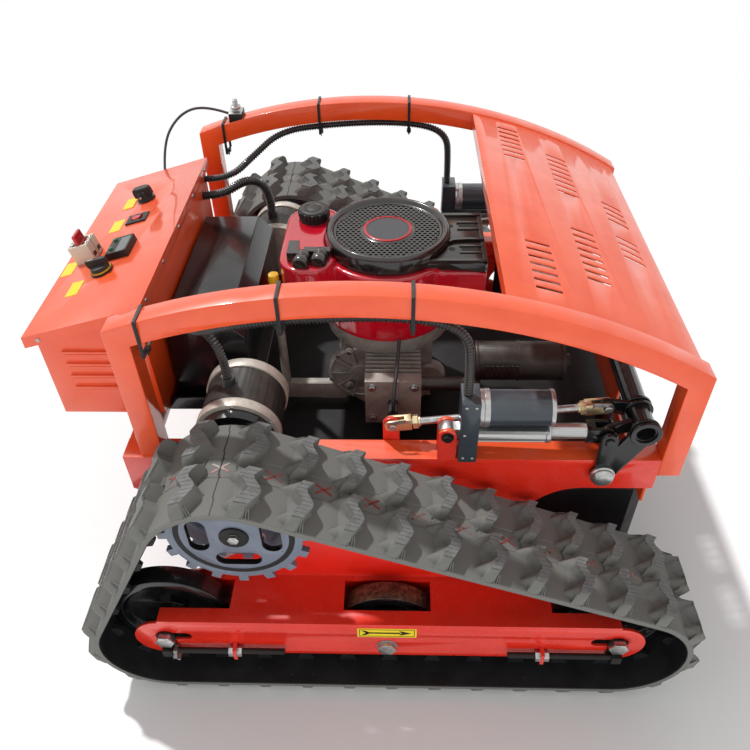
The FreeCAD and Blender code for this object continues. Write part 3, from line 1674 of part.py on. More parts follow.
def make_engine():
    x = size.engine_x
    top = size.deck_top
    flange_top = top + size.engine_flange
    half = size.crankcase_half_width
    case_x = about(x, size.crankcase_rear)
    cylinder_x = x + size.cylinder_shift
    blower_radius = size.shroud_radius - size.shroud_wall - size.seat_gap
    pieces = [
        rod("z", size.engine_flange_radius, (top, flange_top), x, 0),
        block(case_x, (-half, half), (flange_top, size.crankcase_top)),
        rod("z", blower_radius, (size.crankcase_top, size.blower_base_top), x, 0),
        rod("y", size.cylinder_radius, (-half - size.cylinder_length, -half), cylinder_x, size.cylinder_z),
    ]
    count = SIZES["fin_count"]
    fin = size.fin_half_width
    for index in range(count):
        low = -half - size.cylinder_length + size.cylinder_length * index / count
        y = (low, low + size.fin_thickness)
        pieces.append(block(about(cylinder_x, fin), y, about(size.cylinder_z, fin)))
    head_y = (-half - size.cylinder_length - size.head_thickness, -half - size.cylinder_length)
    pieces.append(block(about(cylinder_x, fin), head_y, about(size.cylinder_z, fin)))
    arm_y = about(size.filler_y, size.filler_radius)
    pieces.append(block((size.filler_x, case_x[0]), arm_y, (flange_top, flange_top + size.tube_width)))
    pieces.append(rod("z", size.filler_radius, (flange_top, size.filler_top), size.filler_x, size.filler_y))
    bore_z = (top - size.overrun, size.blower_base_top + size.overrun)
    stick_bottom = size.filler_top - size.stick_depth
    stick_z = (stick_bottom - size.running_gap, size.filler_top + size.overrun)
    tools = (
        rod("z", size.crank_radius + size.fit_gap, bore_z, x, 0),
        rod("z", size.stick_radius + size.fit_gap, stick_z, size.filler_x, size.filler_y),
    )
    node("engine_block", cut(fuse(*pieces), *tools))
    handle_z = (size.filler_top, size.filler_top + size.stick_handle_height)
    stick = rod("z", size.stick_radius, (stick_bottom, size.filler_top), size.filler_x, size.filler_y)
    handle = rod("z", size.stick_handle_radius, handle_z, size.filler_x, size.filler_y)
    node("dipstick", fuse(stick, handle))

    skirt_low = size.blower_base_top - size.shroud_overlap
    skirt = rod("z", size.shroud_radius, (skirt_low, size.shroud_top), x, 0)
    tank_z = (size.tank_bottom, size.tank_top)
    tank = [
        rod("z", size.tank_radius, tank_z, size.tank_x, -size.tank_half_width),
        rod("z", size.tank_radius, tank_z, size.tank_x, size.tank_half_width),
        block(about(size.tank_x, size.tank_radius), about(measure(0), size.tank_half_width), tank_z),
    ]
    fairing_y = (size.fairing_right_y, size.fairing_left_y)
    fairing = block((x, size.fairing_front_x), fairing_y, (size.fairing_bottom, size.fairing_top))
    room_z = (skirt_low - size.overrun, size.shroud_top - size.shroud_wall)
    room = rod("z", size.shroud_radius - size.shroud_wall, room_z, x, 0)
    eye = rod("z", size.ring_inner_radius, (size.shroud_top - size.overrun, size.tank_top + size.overrun), x, 0)
    above = rod("z", size.ring_radius + size.running_gap, (size.shroud_top, size.tank_top + size.overrun), x, 0)
    wall = size.shroud_wall
    fairing_room = block(
        (x, size.fairing_front_x - wall),
        (fairing_y[0] + wall, fairing_y[1] - wall),
        (size.fairing_bottom - size.overrun, size.fairing_top - wall),
    )
    node("engine_shroud", cut(fuse(skirt, fairing, *tank), room, eye, above, fairing_room))

    ring = cut(
        rod("z", size.ring_radius, (size.shroud_top, size.ring_top), x, 0),
        rod("z", size.ring_inner_radius, (size.screen_top, size.ring_top + size.overrun), x, 0),
        rod("z", size.ring_inner_radius, (size.shroud_top - size.overrun, size.screen_bottom), x, 0),
    )
    badge = rod("z", size.badge_radius, (size.screen_top, size.screen_top + size.badge_rise), x, 0)
    neck_x = (x + size.ring_inner_radius, size.fairing_front_x)
    neck = block(neck_x, fairing_y, (size.shroud_top, size.neck_top))
    support_x = (x + size.shroud_radius + size.seat_gap, size.fairing_front_x)
    support = block(support_x, fairing_y, (size.fairing_top, size.shroud_top))
    slot_front = size.fairing_front_x - size.neck_slot_inset
    slot_x = (slot_front - size.neck_slot_length, slot_front)
    slots = []
    for index in (1, 2):
        middle = fairing_y[0] + (fairing_y[1] - fairing_y[0]) * index / 3
        slot_z = (size.shroud_top, size.neck_top + size.overrun)
        slots.append(block(slot_x, about(middle, size.neck_slot_width / 2), slot_z))
    screen_z = (size.screen_bottom - size.overrun, size.screen_top + size.overrun)
    slot_inner = size.badge_radius + size.screen_hub_margin
    slot_outer = size.ring_inner_radius - size.eye_thickness
    openings = spokes(SIZES["screen_slots"], slot_inner, slot_outer, size.screen_bar, screen_z, x)
    bulbs = []
    for bulb_x, bulb_y in (
        (size.bulb_one_x, size.bulb_one_y),
        (size.bulb_two_x, size.bulb_two_y),
    ):
        bulb_z = (size.tank_top, size.tank_top + size.bulb_height)
        bulbs.append(cone("z", size.bulb_radius, size.bulb_radius / 2, bulb_z, bulb_x, bulb_y))
    bracket_x = (size.bulb_two_x, x - size.ring_inner_radius)
    bracket_y = about((size.bulb_one_y + size.bulb_two_y) / 2, size.bulb_radius)
    bracket = block(bracket_x, bracket_y, (size.tank_top, size.tank_top + size.eye_thickness))
    housing = cut(fuse(ring, badge, neck), *slots, *openings)
    node("starter_housing", fuse(housing, support, bracket, *bulbs))

    cap_z = (size.tank_top, size.tank_top + size.cap_height)
    cap = rod("z", size.cap_radius, cap_z, size.tank_x, size.cap_y)
    notches = []
    for index in range(SIZES["cap_notches"]):
        turn = 2 * math.pi * index / SIZES["cap_notches"]
        notch_x = size.tank_x + size.cap_radius * math.cos(turn)
        notch_y = size.cap_y + size.cap_radius * math.sin(turn)
        notch_z = (cap_z[0] + size.eye_thickness, cap_z[1] + size.overrun)
        notches.append(rod("z", size.cap_notch_radius, notch_z, notch_x, notch_y))
    node("fuel_cap", cut(cap, *notches))

    can_x = (size.muffler_rear_x, size.muffler_front_x)
    can = rod("x", size.muffler_radius, can_x, size.muffler_y, size.muffler_z)
    pipe_y = -half - size.cylinder_length - size.head_thickness / 2
    pipe_z = size.cylinder_z + size.fin_half_width - size.pipe_radius
    pipe = rod("x", size.pipe_radius, (cylinder_x + fin, can_x[0] + size.pipe_reach), pipe_y, pipe_z)
    outlet = rod("x", size.pipe_radius, (can_x[1], can_x[1] + size.pipe_reach), size.muffler_y, size.muffler_z)
    node("muffler", fuse(can, pipe, outlet))

    hub_z = (size.blade_z + size.blade_thickness, size.blade_z + size.blade_thickness + size.blade_hub_height)
    crank = rod("z", size.crank_radius, (size.blade_z - size.crank_end, size.flywheel_top), x, 0)
    flywheel = rod("z", size.flywheel_radius, (size.flywheel_bottom, size.flywheel_top), x, 0)
    bolt_z = (size.blade_z - size.crank_end, size.blade_z)
    bolt = hexagon("z", size.bolt_head, bolt_z, x, 0)
    node("crankshaft", fuse(crank, flywheel, bolt))
    blade_z = (size.blade_z, size.blade_z + size.blade_thickness)
    bar_block = block(about(x, size.blade_radius), about(measure(0), size.blade_half_width), blade_z)
    tips = []
    for hand in (-1, 1):
        tip_x = about(x + (size.blade_radius - size.blade_half_width * 2) * hand, size.blade_half_width * 2)
        tip_y = span(-hand, size.blade_half_width - size.eye_thickness, size.blade_half_width)
        tip_z = (blade_z[1], blade_z[1] + size.eye_thickness * 3)
        tips.append(block(tip_x, tip_y, tip_z))
    hub = rod("z", size.blade_hub_radius, hub_z, x, 0)
    bore = rod("z", size.crank_radius, (blade_z[0] - size.overrun, hub_z[1] + size.overrun), x, 0)
    node("cutting_blade", cut(fuse(bar_block, hub, *tips), bore))


def make_controls():
    zero = measure(0)
    gap = size.running_gap
    radius = size.rotary_radius
    knob = fuse(
        rod("z", radius, (gap, size.rotary_height), 0, 0),
        rod("z", radius + size.flange_extra, (gap, size.flange_height), 0, 0),
        rod("z", size.spindle_radius, (-size.spindle_depth, gap), 0, 0),
    )
    notches = []
    for index in range(SIZES["rotary_notches"]):
        turn = 2 * math.pi * index / SIZES["rotary_notches"]
        z = (size.flange_height + size.sheet, size.rotary_height + size.overrun)
        across = radius * math.cos(turn)
        up = radius * math.sin(turn)
        notches.append(rod("z", size.rotary_notch_radius, z, across, up))
    node("rotary_knob", on_lid(cut(knob, *notches), size.rotary_x, size.rotary_y))

    rim = fuse(
        block(about(zero, size.switch_half_length), about(zero, size.switch_half_width), (zero, size.flange_height)),
        block(
            about(zero, size.switch_half_length - size.switch_wall),
            about(zero, size.switch_half_width - size.switch_wall),
            (-size.switch_depth, zero),
        ),
    )
    pocket = block(
        about(zero, size.paddle_half_length + size.paddle_pivot_depth),
        about(zero, size.paddle_half_width + gap),
        (-size.paddle_depth * 2, size.flange_height + size.overrun),
    )
    node("rocker_switch_bezel", on_lid(cut(rim, pocket), size.switch_x, size.switch_y))
    paddle = block(
        about(zero, size.paddle_half_length),
        about(zero, size.paddle_half_width),
        (-size.paddle_depth, size.paddle_rise),
    )
    pin_y = about(zero, size.paddle_half_width + size.paddle_pin_reach)
    pin = rod("y", size.paddle_pin_radius, pin_y, 0, -size.paddle_pivot_depth)
    dip = rod(
        "y",
        size.paddle_half_length * 2,
        (-size.paddle_half_width - gap, size.paddle_half_width + gap),
        0,
        size.paddle_rise + size.paddle_half_length * 2 - size.paddle_pivot_depth,
    )
    node("rocker_switch_paddle", on_lid(fuse(cut(paddle, dip), pin), size.switch_x, size.switch_y))

    case = block(
        about(zero, size.breaker_half_length),
        about(zero, size.breaker_half_width),
        (-size.breaker_depth, size.breaker_height),
    )
    lever_z = size.breaker_height - size.breaker_lever_radius
    slot = block(
        about(zero, size.breaker_slot_half),
        about(zero, size.breaker_lever_half + gap),
        (lever_z - size.breaker_lever_radius - gap, size.breaker_height + size.overrun),
    )
    node("breaker", on_lid(cut(case, slot), size.breaker_x, size.breaker_y))
    lever_y = (-size.breaker_lever_half, size.breaker_lever_half)
    lever = fuse(
        rod("y", size.breaker_lever_radius, lever_y, 0, lever_z),
        block(
            about(zero, size.breaker_lever_half_thickness),
            lever_y,
            (lever_z, lever_z + size.breaker_lever_height),
        ),
    )
    node("breaker_lever", on_lid(lever, size.breaker_x, size.breaker_y))

    meter_case = fuse(
        block(about(zero, size.meter_half_length), about(zero, size.meter_half_width), (zero, size.meter_height)),
        block(
            about(zero, size.meter_half_length - size.meter_rim),
            about(zero, size.meter_half_width - size.meter_rim),
            (-size.meter_depth, zero),
        ),
    )
    holes = []
    buttons = []
    for hand in (-1, 1):
        across = -size.button_shift_x
        up = size.button_shift_y * hand
        seat = size.meter_height - size.button_rise - size.button_travel * 2
        hole_z = (seat - gap, size.meter_height + size.overrun)
        holes.append(rod("z", size.button_radius + gap, hole_z, across, up))
        button_z = (seat + size.button_travel + gap, size.meter_height + size.button_rise)
        buttons.append(group(rod("z", size.button_radius, button_z, across, up)))
    screen = block(
        (-size.button_travel * 2, size.meter_half_length - size.meter_rim),
        about(zero, size.meter_half_width - size.meter_rim),
        (size.meter_height - size.button_travel, size.meter_height + size.overrun),
    )
    node("meter", on_lid(cut(meter_case, screen, *holes), size.meter_x, size.meter_y))
    for word, button in zip(("right", "left"), buttons):
        node("meter_button_" + word, on_lid(button, size.meter_x, size.meter_y))

    dial = fuse(
        rod("z", size.selector_radius + size.flange_height, (gap, size.flange_height + gap), 0, 0),
        rod("z", size.selector_radius, (size.flange_height, size.selector_height), 0, 0),
        rod("z", size.spindle_radius, (-size.spindle_depth, gap), 0, 0),
        block(
            about(zero, size.selector_bar_half),
            about(zero, size.selector_bar_thickness),
            (size.selector_height, size.selector_height + size.selector_bar_height),
        ),
    )
    node("selector_lever", on_lid(dial, size.selector_x, size.selector_y))


def routed_tube(points, radius, name):
    """A held cable: straight runs joined by tangent arcs, swept with a round section."""
    places = [Vector(*point) for point in points]
    edges = []
    start = places[0]
    tightest = None
    for index in range(1, len(places) - 1):
        corner = places[index]
        before = corner - places[index - 1]
        after = places[index + 1] - corner
        setback = BEND_SHARE * min(before.Length, after.Length)
        half_turn = before.getAngle(after) / 2
        bend = setback / math.tan(half_turn)
        before.normalize()
        after.normalize()
        first = corner - before * setback
        last = corner + after * setback
        inward = after - before
        inward.normalize()
        centre = corner + inward * (bend / math.cos(half_turn))
        middle = centre - inward * bend
        edges.append(Part.makeLine(start, first))
        edges.append(Part.Arc(first, middle, last).toShape())
        start = last
        tightest = bend if tightest is None else min(tightest, bend)
    edges.append(Part.makeLine(start, places[-1]))
    route = Part.Wire(edges)
    heading = places[1] - places[0]
    section = Part.Wire(Part.makeCircle(radius, places[0], heading))
    tube = route.makePipeShell([section], True, False)
    expected = math.pi * radius ** 2 * route.Length
    print(name, "length", round(route.Length), "tightest bend", round(tightest, 1),
          "volume ratio", round(tube.Volume / expected, 4))
    return tube


def make_cables():
    thin = float(size.conduit_radius)
    thick = float(size.thick_conduit_radius)
    aerial = float(size.aerial_cable_radius)
    tubes = []
    for word, side in SIDES:
        trunk = [(x, y * side, z) for x, y, z in TRUNK_ROUTE]
        branch = [(x, y * side, z) for x, y, z in MOTOR_ROUTE]
        tubes.append(routed_tube(trunk, thin, "trunk " + word))
        tubes.append(routed_tube(branch, thin if side < 0 else thick, "branch " + word))
    tubes.append(routed_tube(AERIAL_ROUTE, aerial, "aerial"))
    node("cable_conduits", solid(Part.makeCompound(tubes)))


def make_ties():
    bands = []
    gap = size.running_gap * 2
    thick = size.tie_thickness
    for word, side in SIDES:
        for share in TIE_SHARES:
            x = size.hoop_rear_x + hoop_run * share
            reach = about(x, size.tie_half_length)
            high = arch_height(x, size.hoop_radius) + gap
            low = arch_height(x, size.hoop_radius - size.tube_width) - gap - size.conduit_radius * 3
            y = span(side, inner_face - gap, size.chassis_half_width + gap)
            hole_x = (reach[0] - size.overrun, reach[1] + size.overrun)
            outer = block(reach, (y[0] - thick, y[1] + thick), (low - thick, high + thick))
            bands.append(cut(outer, block(hole_x, y, (low, high))))
    node("cable_ties", group(*bands))


def make_aerial_clamp(tubes):
    x = (size.clamp_rear_x, size.clamp_front_x)
    y = (inner_face, size.chassis_half_width)
    low = arch_height(size.clamp_rear_x, size.hoop_radius) - size.sheet
    saddle = cut(block(x, y, (low, size.clamp_top)), tubes[1])
    middle_x = (x[0] + x[1]) / 2
    middle_y = (y[0] + y[1]) / 2
    screw = rod("z", size.clamp_screw_radius, (size.clamp_top, size.clamp_screw_top), middle_x, middle_y)
    collar_z = (size.clamp_top + size.eye_thickness, size.clamp_top + size.clamp_collar_height)
    collar = rod("z", size.clamp_screw_radius * 2, collar_z, middle_x, middle_y)
    node("aerial_clamp", fuse(saddle, screw, collar))


def build():
    tubes = make_hoops()
    make_side_frames()
    make_front_panel()
    make_hood()
    make_control_box()
    make_carrier()
    make_battery()
    make_drive_motors()
    make_sprockets()
    make_wheels()
    make_track_frames()
    make_axles()
    make_belts()
    make_rocker()
    make_levers()
    make_tie_rods()
    make_actuators()
    make_deck()
    make_engine()
    make_controls()
    make_cables()
    make_ties()
    make_aerial_clamp(tubes)
    doc.recompute()


def faults():
    """Objects that failed, and sub-parts without a sound shape."""
    found = []
    for item in doc.Objects:
        if "Invalid" in item.State or "Error" in item.State:
            found.append(item.Name + " is in a bad state")
    for item in NODES:
        if item.Shape.isNull() or not item.Shape.isValid() or not item.Shape.Solids:
            found.append(item.Label + " has no sound solid")
    return found


def write_parts():
    os.makedirs("parts", exist_ok=True)
    problems = faults()
    if problems:
        raise RuntimeError("; ".join(problems))
    for item in NODES:
        item.Shape.exportStep("parts/" + item.Label + ".step")
        box = item.Shape.BoundBox
        print(item.Label, len(item.Shape.Solids), "solids", round(item.Shape.Volume / 1000), "cm3",
              [round(value) for value in (box.XMin, box.XMax, box.YMin, box.YMax, box.ZMin, box.ZMax)])
    print(len(NODES), "sub-parts")


build()
write_parts()
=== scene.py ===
"""Looks of the remote control slope mower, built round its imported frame.

Sizes are in millimetres in the part's own frame: x forward, y to the machine's left, z up.
"""
import json
import logging
import math
from dataclasses import dataclass, field
from enum import Enum
from typing import Callable, Iterable, Sequence

import bmesh
import bpy
from mathutils import Matrix, Vector
from mathutils.kdtree import KDTree

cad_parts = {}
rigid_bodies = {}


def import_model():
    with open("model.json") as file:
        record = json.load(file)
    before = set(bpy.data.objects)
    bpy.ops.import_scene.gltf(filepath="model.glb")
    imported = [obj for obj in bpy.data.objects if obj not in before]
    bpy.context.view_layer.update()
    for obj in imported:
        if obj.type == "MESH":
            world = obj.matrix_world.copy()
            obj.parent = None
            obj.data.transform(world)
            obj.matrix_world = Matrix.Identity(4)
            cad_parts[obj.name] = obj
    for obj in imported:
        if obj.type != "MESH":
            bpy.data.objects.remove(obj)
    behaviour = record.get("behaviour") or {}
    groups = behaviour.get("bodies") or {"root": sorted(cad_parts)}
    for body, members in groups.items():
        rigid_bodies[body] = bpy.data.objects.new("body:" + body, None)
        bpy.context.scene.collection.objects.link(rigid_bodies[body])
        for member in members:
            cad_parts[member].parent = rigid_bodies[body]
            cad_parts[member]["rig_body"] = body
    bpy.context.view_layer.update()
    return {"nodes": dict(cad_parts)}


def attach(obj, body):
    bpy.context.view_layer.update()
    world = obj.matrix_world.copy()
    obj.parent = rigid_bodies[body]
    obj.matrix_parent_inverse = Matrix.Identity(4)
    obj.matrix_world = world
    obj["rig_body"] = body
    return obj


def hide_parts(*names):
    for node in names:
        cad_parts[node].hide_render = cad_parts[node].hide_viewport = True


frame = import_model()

MM = 0.001
SIDES = (("right", -1), ("left", 1))
log = logging.getLogger("slope_mower")
Point = Sequence[float]
Socket = bpy.types.NodeSocket
Tree = bpy.types.NodeTree


class Axis(Enum):
    """The three directions of the part's frame."""

    X = (1.0, 0.0, 0.0)
    Y = (0.0, 1.0, 0.0)
    Z = (0.0, 0.0, 1.0)


def linear(hex_colour: str) -> tuple[float, float, float, float]:
    """Turns an sRGB hex colour to linear values.

    Args:
        hex_colour: the colour, such as "#a0b0c0".

    Returns:
        Red, green, blue and alpha.
    """
    parts = [int(hex_colour[i : i + 2], 16) / 255 for i in (1, 3, 5)]
    return (*[c / 12.92 if c <= 0.04045 else ((c + 0.055) / 1.055) ** 2.4 for c in parts], 1.0)


def add_node(tree: Tree, kind: str, settings: dict | None = None,
             links: dict | None = None) -> bpy.types.Node:
    """Adds a node with its settings and links.

    Args:
        tree: the node tree it goes in.
        kind: the node's type.
        settings: properties or input values, by name or by input number.
        links: output sockets, by the name or number of the input they feed.

    Returns:
        The new node.
    """
    made = tree.nodes.new(kind)
    for key, value in (settings or {}).items():
        if isinstance(key, str) and hasattr(made, key):
            setattr(made, key, value)
        else:
            made.inputs[key].default_value = value
    for key, socket in (links or {}).items():
        tree.links.new(socket, made.inputs[key])
    return made


def reckon(tree: Tree, operation: str, first: float | Socket, second: float | Socket) -> Socket:
    """Adds a math node.

    Args:
        tree: the node tree it goes in.
        operation: what it works out.
        first: its first number or socket.
        second: its second number or socket.

    Returns:
        The socket of the result.
    """
    settings: dict = {"operation": operation}
    links: dict = {}
    for number, value in enumerate((first, second)):
        (links if isinstance(value, Socket) else settings)[number] = value
    return add_node(tree, "ShaderNodeMath", settings, links).outputs[0]


def noise(tree: Tree, place: Socket, size_mm: float, detail: float) -> Socket:
    """Adds a noise.

    Args:
        tree: the node tree it goes in.
        place: the coordinates it reads.
        size_mm: how large its features are.
        detail: how many finer layers it has.

    Returns:
        The socket of its value.
    """
    settings = {"Scale": 1 / (size_mm * MM), "Detail": detail, "Roughness": 0.6}
    return add_node(tree, "ShaderNodeTexNoise", settings, {"Vector": place}).outputs[0]


def spread(tree: Tree, value: Socket, low: float, high: float, to_low: float = 0.0,
           to_high: float = 1.0) -> Socket:
    """Adds a node that stretches a value from one range to another.

    Args:
        tree: the node tree it goes in.
        value: what is stretched.
        low: the start of its range.
        high: the end of its range.
        to_low: what the start becomes.
        to_high: what the end becomes.

    Returns:
        The socket of the result.
    """
    settings = {"From Min": low, "From Max": high, "To Min": to_low, "To Max": to_high}
    return add_node(tree, "ShaderNodeMapRange", settings, {"Value": value}).outputs[0]


def mixed(tree: Tree, share: Socket, first: str | Socket, second: str | Socket) -> Socket:
    """Adds a mix of two colours.

    Args:
        tree: the node tree it goes in.
        share: how much of the second colour there is.
        first: a hex colour or a socket.
        second: a hex colour or a socket.

    Returns:
        The socket of the mixed colour.
    """
    settings: dict = {"data_type": "RGBA"}
    links: dict = {0: share}
    for number, tone in ((6, first), (7, second)):
        if isinstance(tone, str):
            settings[number] = linear(tone)
        else:
            links[number] = tone
    return add_node(tree, "ShaderNodeMix", settings, links).outputs[2]


@dataclass(frozen=True)
class Finish:
    """What a surface is made of and how it was made. Pattern sizes are real ones, in millimetres."""

    name: str
    colour: str
    shade: str
    roughness: float
    metallic: float = 0.0
    coat: float = 0.0
    gloss: float = 0.5
    patch_mm: float = 70.0
    grain_mm: float = 1.2
    grain_depth_mm: float = 0.03
    speck: str = "#8d8478"
    speck_mm: float = 7.0
    speck_above: float = 0.9
    dust: float = 0.0
    dust_tone: str = "#a99c8a"
    dust_from: float = 0.1
    brush: tuple[float, float, float] = (1.0, 1.0, 1.0)

    def material(self) -> bpy.types.Material:
        """Makes the node material of this finish, once.

        Returns:
            The material.
        """
        known = bpy.data.materials.get(self.name)
        if known:
            return known
        made = bpy.data.materials.new(self.name)
        made.use_nodes = True
        made.diffuse_color = linear(self.colour)
        tree = made.node_tree
        tree.nodes.clear()
        place = add_node(tree, "ShaderNodeTexCoord").outputs["Object"]
        along = add_node(tree, "ShaderNodeMapping", {"Scale": self.brush}, {"Vector": place}).outputs[0]

        patch = noise(tree, along, self.patch_mm, 3.0)
        tone = mixed(tree, spread(tree, patch, 0.36, 0.64), self.colour, self.shade)
        specks = noise(tree, place, self.speck_mm, 8.0)
        tone = mixed(tree, spread(tree, specks, self.speck_above, self.speck_above + 0.03), tone, self.speck)
        rough = spread(tree, patch, 0.3, 0.7, self.roughness * 0.85, min(1.0, self.roughness * 1.2))
        if self.dust:
            tone, rough = self.dusted(tree, place, tone, rough)
        grain = noise(tree, along, self.grain_mm, 2.0)
        bump = add_node(tree, "ShaderNodeBump", {"Distance": self.grain_depth_mm * MM}, {"Height": grain})
        values = {"Metallic": self.metallic, "Coat Weight": self.coat, "Coat Roughness": 0.08,
                  "Specular IOR Level": self.gloss}
        sockets = {"Base Color": tone, "Roughness": rough, "Normal": bump.outputs[0]}
        surface = add_node(tree, "ShaderNodeBsdfPrincipled", values, sockets)
        add_node(tree, "ShaderNodeOutputMaterial", links={"Surface": surface.outputs[0]})
        return made

    def dusted(self, tree: Tree, place: Socket, tone: Socket, rough: Socket) -> tuple[Socket, Socket]:
        """Lays clouds of dust on what faces up.

        Args:
            tree: the material's tree.
            place: the coordinates on the object.
            tone: the colour under the dust.
            rough: the roughness under the dust.

        Returns:
            The colour and the roughness with the dust on them.
        """
        normal = add_node(tree, "ShaderNodeNewGeometry").outputs["Normal"]
        up = add_node(tree, "ShaderNodeSeparateXYZ", links={0: normal}).outputs[2]
        lying = spread(tree, up, self.dust_from, 0.96, 0.0, self.dust)
        cloud = spread(tree, noise(tree, place, 24.0, 6.0), 0.38, 0.66, 0.3, 1.0)
        share = reckon(tree, "MULTIPLY", lying, cloud)
        values = {"operation": "MULTIPLY_ADD", "use_clamp": True, 1: 0.7}
        duller = add_node(tree, "ShaderNodeMath", values, {0: share, 2: rough}).outputs[0]
        return mixed(tree, share, tone, self.dust_tone), duller


# Powder coat on steel: even orange-red with the faint skin of an orange, bright on top.
FRAME_COAT = Finish("powder_coat_red", "#f0561f", "#e94e1a", 0.34, coat=0.6, grain_mm=2.2,
                    grain_depth_mm=0.02, speck="#b9563c", speck_mm=4.0, speck_above=0.71, dust=0.06)
# The same coat on the side frames' inward faces, darker and redder: painted shade for the inside of the
# frame.
SHADED_INNER_COAT = Finish("powder_coat_inner_painted_shade", "#d8230f", "#c91c0c", 0.36, coat=0.3, dust=0.05)
# Fresh gloss coat on the track frames, a purer red.
TRACK_COAT = Finish("powder_coat_track", "#e8301d", "#dd2817", 0.26, coat=0.5, grain_mm=2.2,
                    grain_depth_mm=0.02, speck="#b04a3c", speck_mm=4.0, speck_above=0.72, dust=0.04)
# A brighter, purer red for the track frames' web: painted light standing in for fill light in its shade.
PAINTED_FILL_WEB_COAT = Finish("powder_coat_web_painted_fill", "#ee2210", "#e61d0d", 0.34, coat=0.3, dust=0.03)
# Sprayed gloss enamel of the engine's sheet shroud.
CRIMSON_ENAMEL = Finish("crimson_enamel", "#cb0b28", "#b90820", 0.17, coat=1.0, grain_mm=3.0,
                        grain_depth_mm=0.01, speck="#d8a0a0", speck_mm=3.0, speck_above=0.75)
# Gloss black enamel, with a little dust.
BLACK_ENAMEL = Finish("black_enamel", "#0d0e10", "#141518", 0.22, coat=0.35, gloss=0.35, grain_mm=3.0,
                      grain_depth_mm=0.01, speck="#5b564f", speck_mm=3.0, speck_above=0.72, dust=0.03)
# Thin black paint of the mower deck, dull with use.
DECK_PAINT = Finish("deck_paint", "#0c0c0e", "#121214", 0.5, gloss=0.18, grain_mm=2.0, grain_depth_mm=0.03,
                    speck="#4b4640", speck_mm=3.0, speck_above=0.72, dust=0.02)
# Moulded ABS of the starter housing: dark, half gloss, dusty brown.
BLACK_ABS = Finish("black_abs", "#161311", "#1f1a17", 0.2, coat=0.6, grain_mm=0.8, grain_depth_mm=0.02,
                   speck="#7b7268", speck_mm=3.5, speck_above=0.69, dust=0.06)
# Fine textured nylon of the knobs, meter and caps.
BLACK_NYLON = Finish("black_nylon", "#1b1c1e", "#242527", 0.42, gloss=0.32, grain_mm=0.5, grain_depth_mm=0.04,
                     dust=0.12)
# Moulded track rubber: dusty, dull, dark grey with paler wiped patches.
TRACK_RUBBER = Finish("track_rubber", "#1f2123", "#292c2d", 0.42, gloss=0.2, patch_mm=30.0, grain_mm=1.6,
                      grain_depth_mm=0.1, speck="#606261", speck_mm=5.0, speck_above=0.66, dust=0.42,
                      dust_tone="#7b8083", dust_from=0.5)
# The crest of a lug, paler: partly scuffed wear, partly painted light for the sun on the crests.
WORN_AND_LIT_RUBBER = Finish("worn_rubber_painted_light", "#5f6161", "#727473", 0.5, gloss=0.25, patch_mm=14.0, grain_mm=1.2,
                     grain_depth_mm=0.12, speck="#353737", speck_mm=4.0, speck_above=0.62, dust=0.25,
                     dust_tone="#959693")
# The same rubber on the belt's inner side, where nothing has greyed it.
CLEAN_RUBBER = Finish("clean_rubber", "#1b1c1e", "#232425", 0.5, gloss=0.2, patch_mm=40.0, grain_mm=1.6,
                      grain_depth_mm=0.1, speck="#4a4a47", speck_mm=6.0, speck_above=0.68)
# Corrugated nylon conduit.
CONDUIT_NYLON = Finish("conduit_nylon", "#1a1b1d", "#232427", 0.3, coat=0.3, grain_mm=0.8,
                       grain_depth_mm=0.02, dust=0.15)
# Stove enamel on the drive motors, rubbed and dusty.
MOTOR_ENAMEL = Finish("motor_enamel", "#1c1a19", "#262321", 0.46, coat=0.08, gloss=0.35, grain_mm=1.4,
                      grain_depth_mm=0.03, speck="#6d6a63", speck_mm=4.0, speck_above=0.7, dust=0.1)
# Blue-grey enamel on the lift motors.
LIFT_ENAMEL = Finish("lift_enamel", "#2a343d", "#323c45", 0.35, coat=0.3, grain_mm=1.0, grain_depth_mm=0.02,
                     dust=0.08)
# Turned aluminium: rings, with fine lines round the axis.
TURNED_ALLOY = Finish("turned_alloy", "#cdc5ba", "#b8afa3", 0.46, metallic=0.4, patch_mm=12.0, grain_mm=0.6,
                      grain_depth_mm=0.02, speck="#7a766f", speck_above=0.7)
# Drawn and anodised aluminium tube: long lines along x.
DRAWN_ALLOY = Finish("drawn_alloy", "#c9c9c8", "#b2b3b3", 0.32, metallic=0.9, patch_mm=16.0, grain_mm=0.5,
                     grain_depth_mm=0.03, brush=(0.03, 1.0, 1.0))
# Sand-cast aluminium of the engine: rough skin, grey-brown with heat and dust.
CAST_ALLOY = Finish("cast_alloy", "#a19c95", "#87827a", 0.45, metallic=0.3, patch_mm=30.0, grain_mm=1.5,
                    grain_depth_mm=0.14, speck="#8c867a", speck_mm=5.0, speck_above=0.65, dust=0.08)
# Zinc plate on bolts and pins: pale, mottled.
ZINC_PLATE = Finish("zinc_plate", "#c3c4c2", "#a3a5a4", 0.3, metallic=0.95, patch_mm=6.0, grain_mm=0.7,
                    grain_depth_mm=0.03, speck="#6d6558", speck_mm=2.0, speck_above=0.68)
# Yellow chromate on the forks.
YELLOW_ZINC = Finish("yellow_zinc", "#b39a5e", "#96824f", 0.33, metallic=0.9, patch_mm=8.0, grain_mm=0.8,
                     grain_depth_mm=0.03, speck="#5f5136", speck_mm=2.5, speck_above=0.66)
# Bare rolled steel where paint has worn off the wheels.
WORN_STEEL = Finish("worn_steel", "#7a604c", "#44342a", 0.42, metallic=0.35, patch_mm=9.0, grain_mm=0.9,
                    grain_depth_mm=0.06, speck="#2a2522", speck_mm=4.0, speck_above=0.58)
# Blue-grey enamel of the sprocket.
SPROCKET_ENAMEL = Finish("sprocket_enamel", "#687384", "#5d6878", 0.34, coat=0.3, grain_mm=1.5,
                         grain_depth_mm=0.03, speck="#2b2b2c", speck_mm=5.0, speck_above=0.66, dust=0.1)
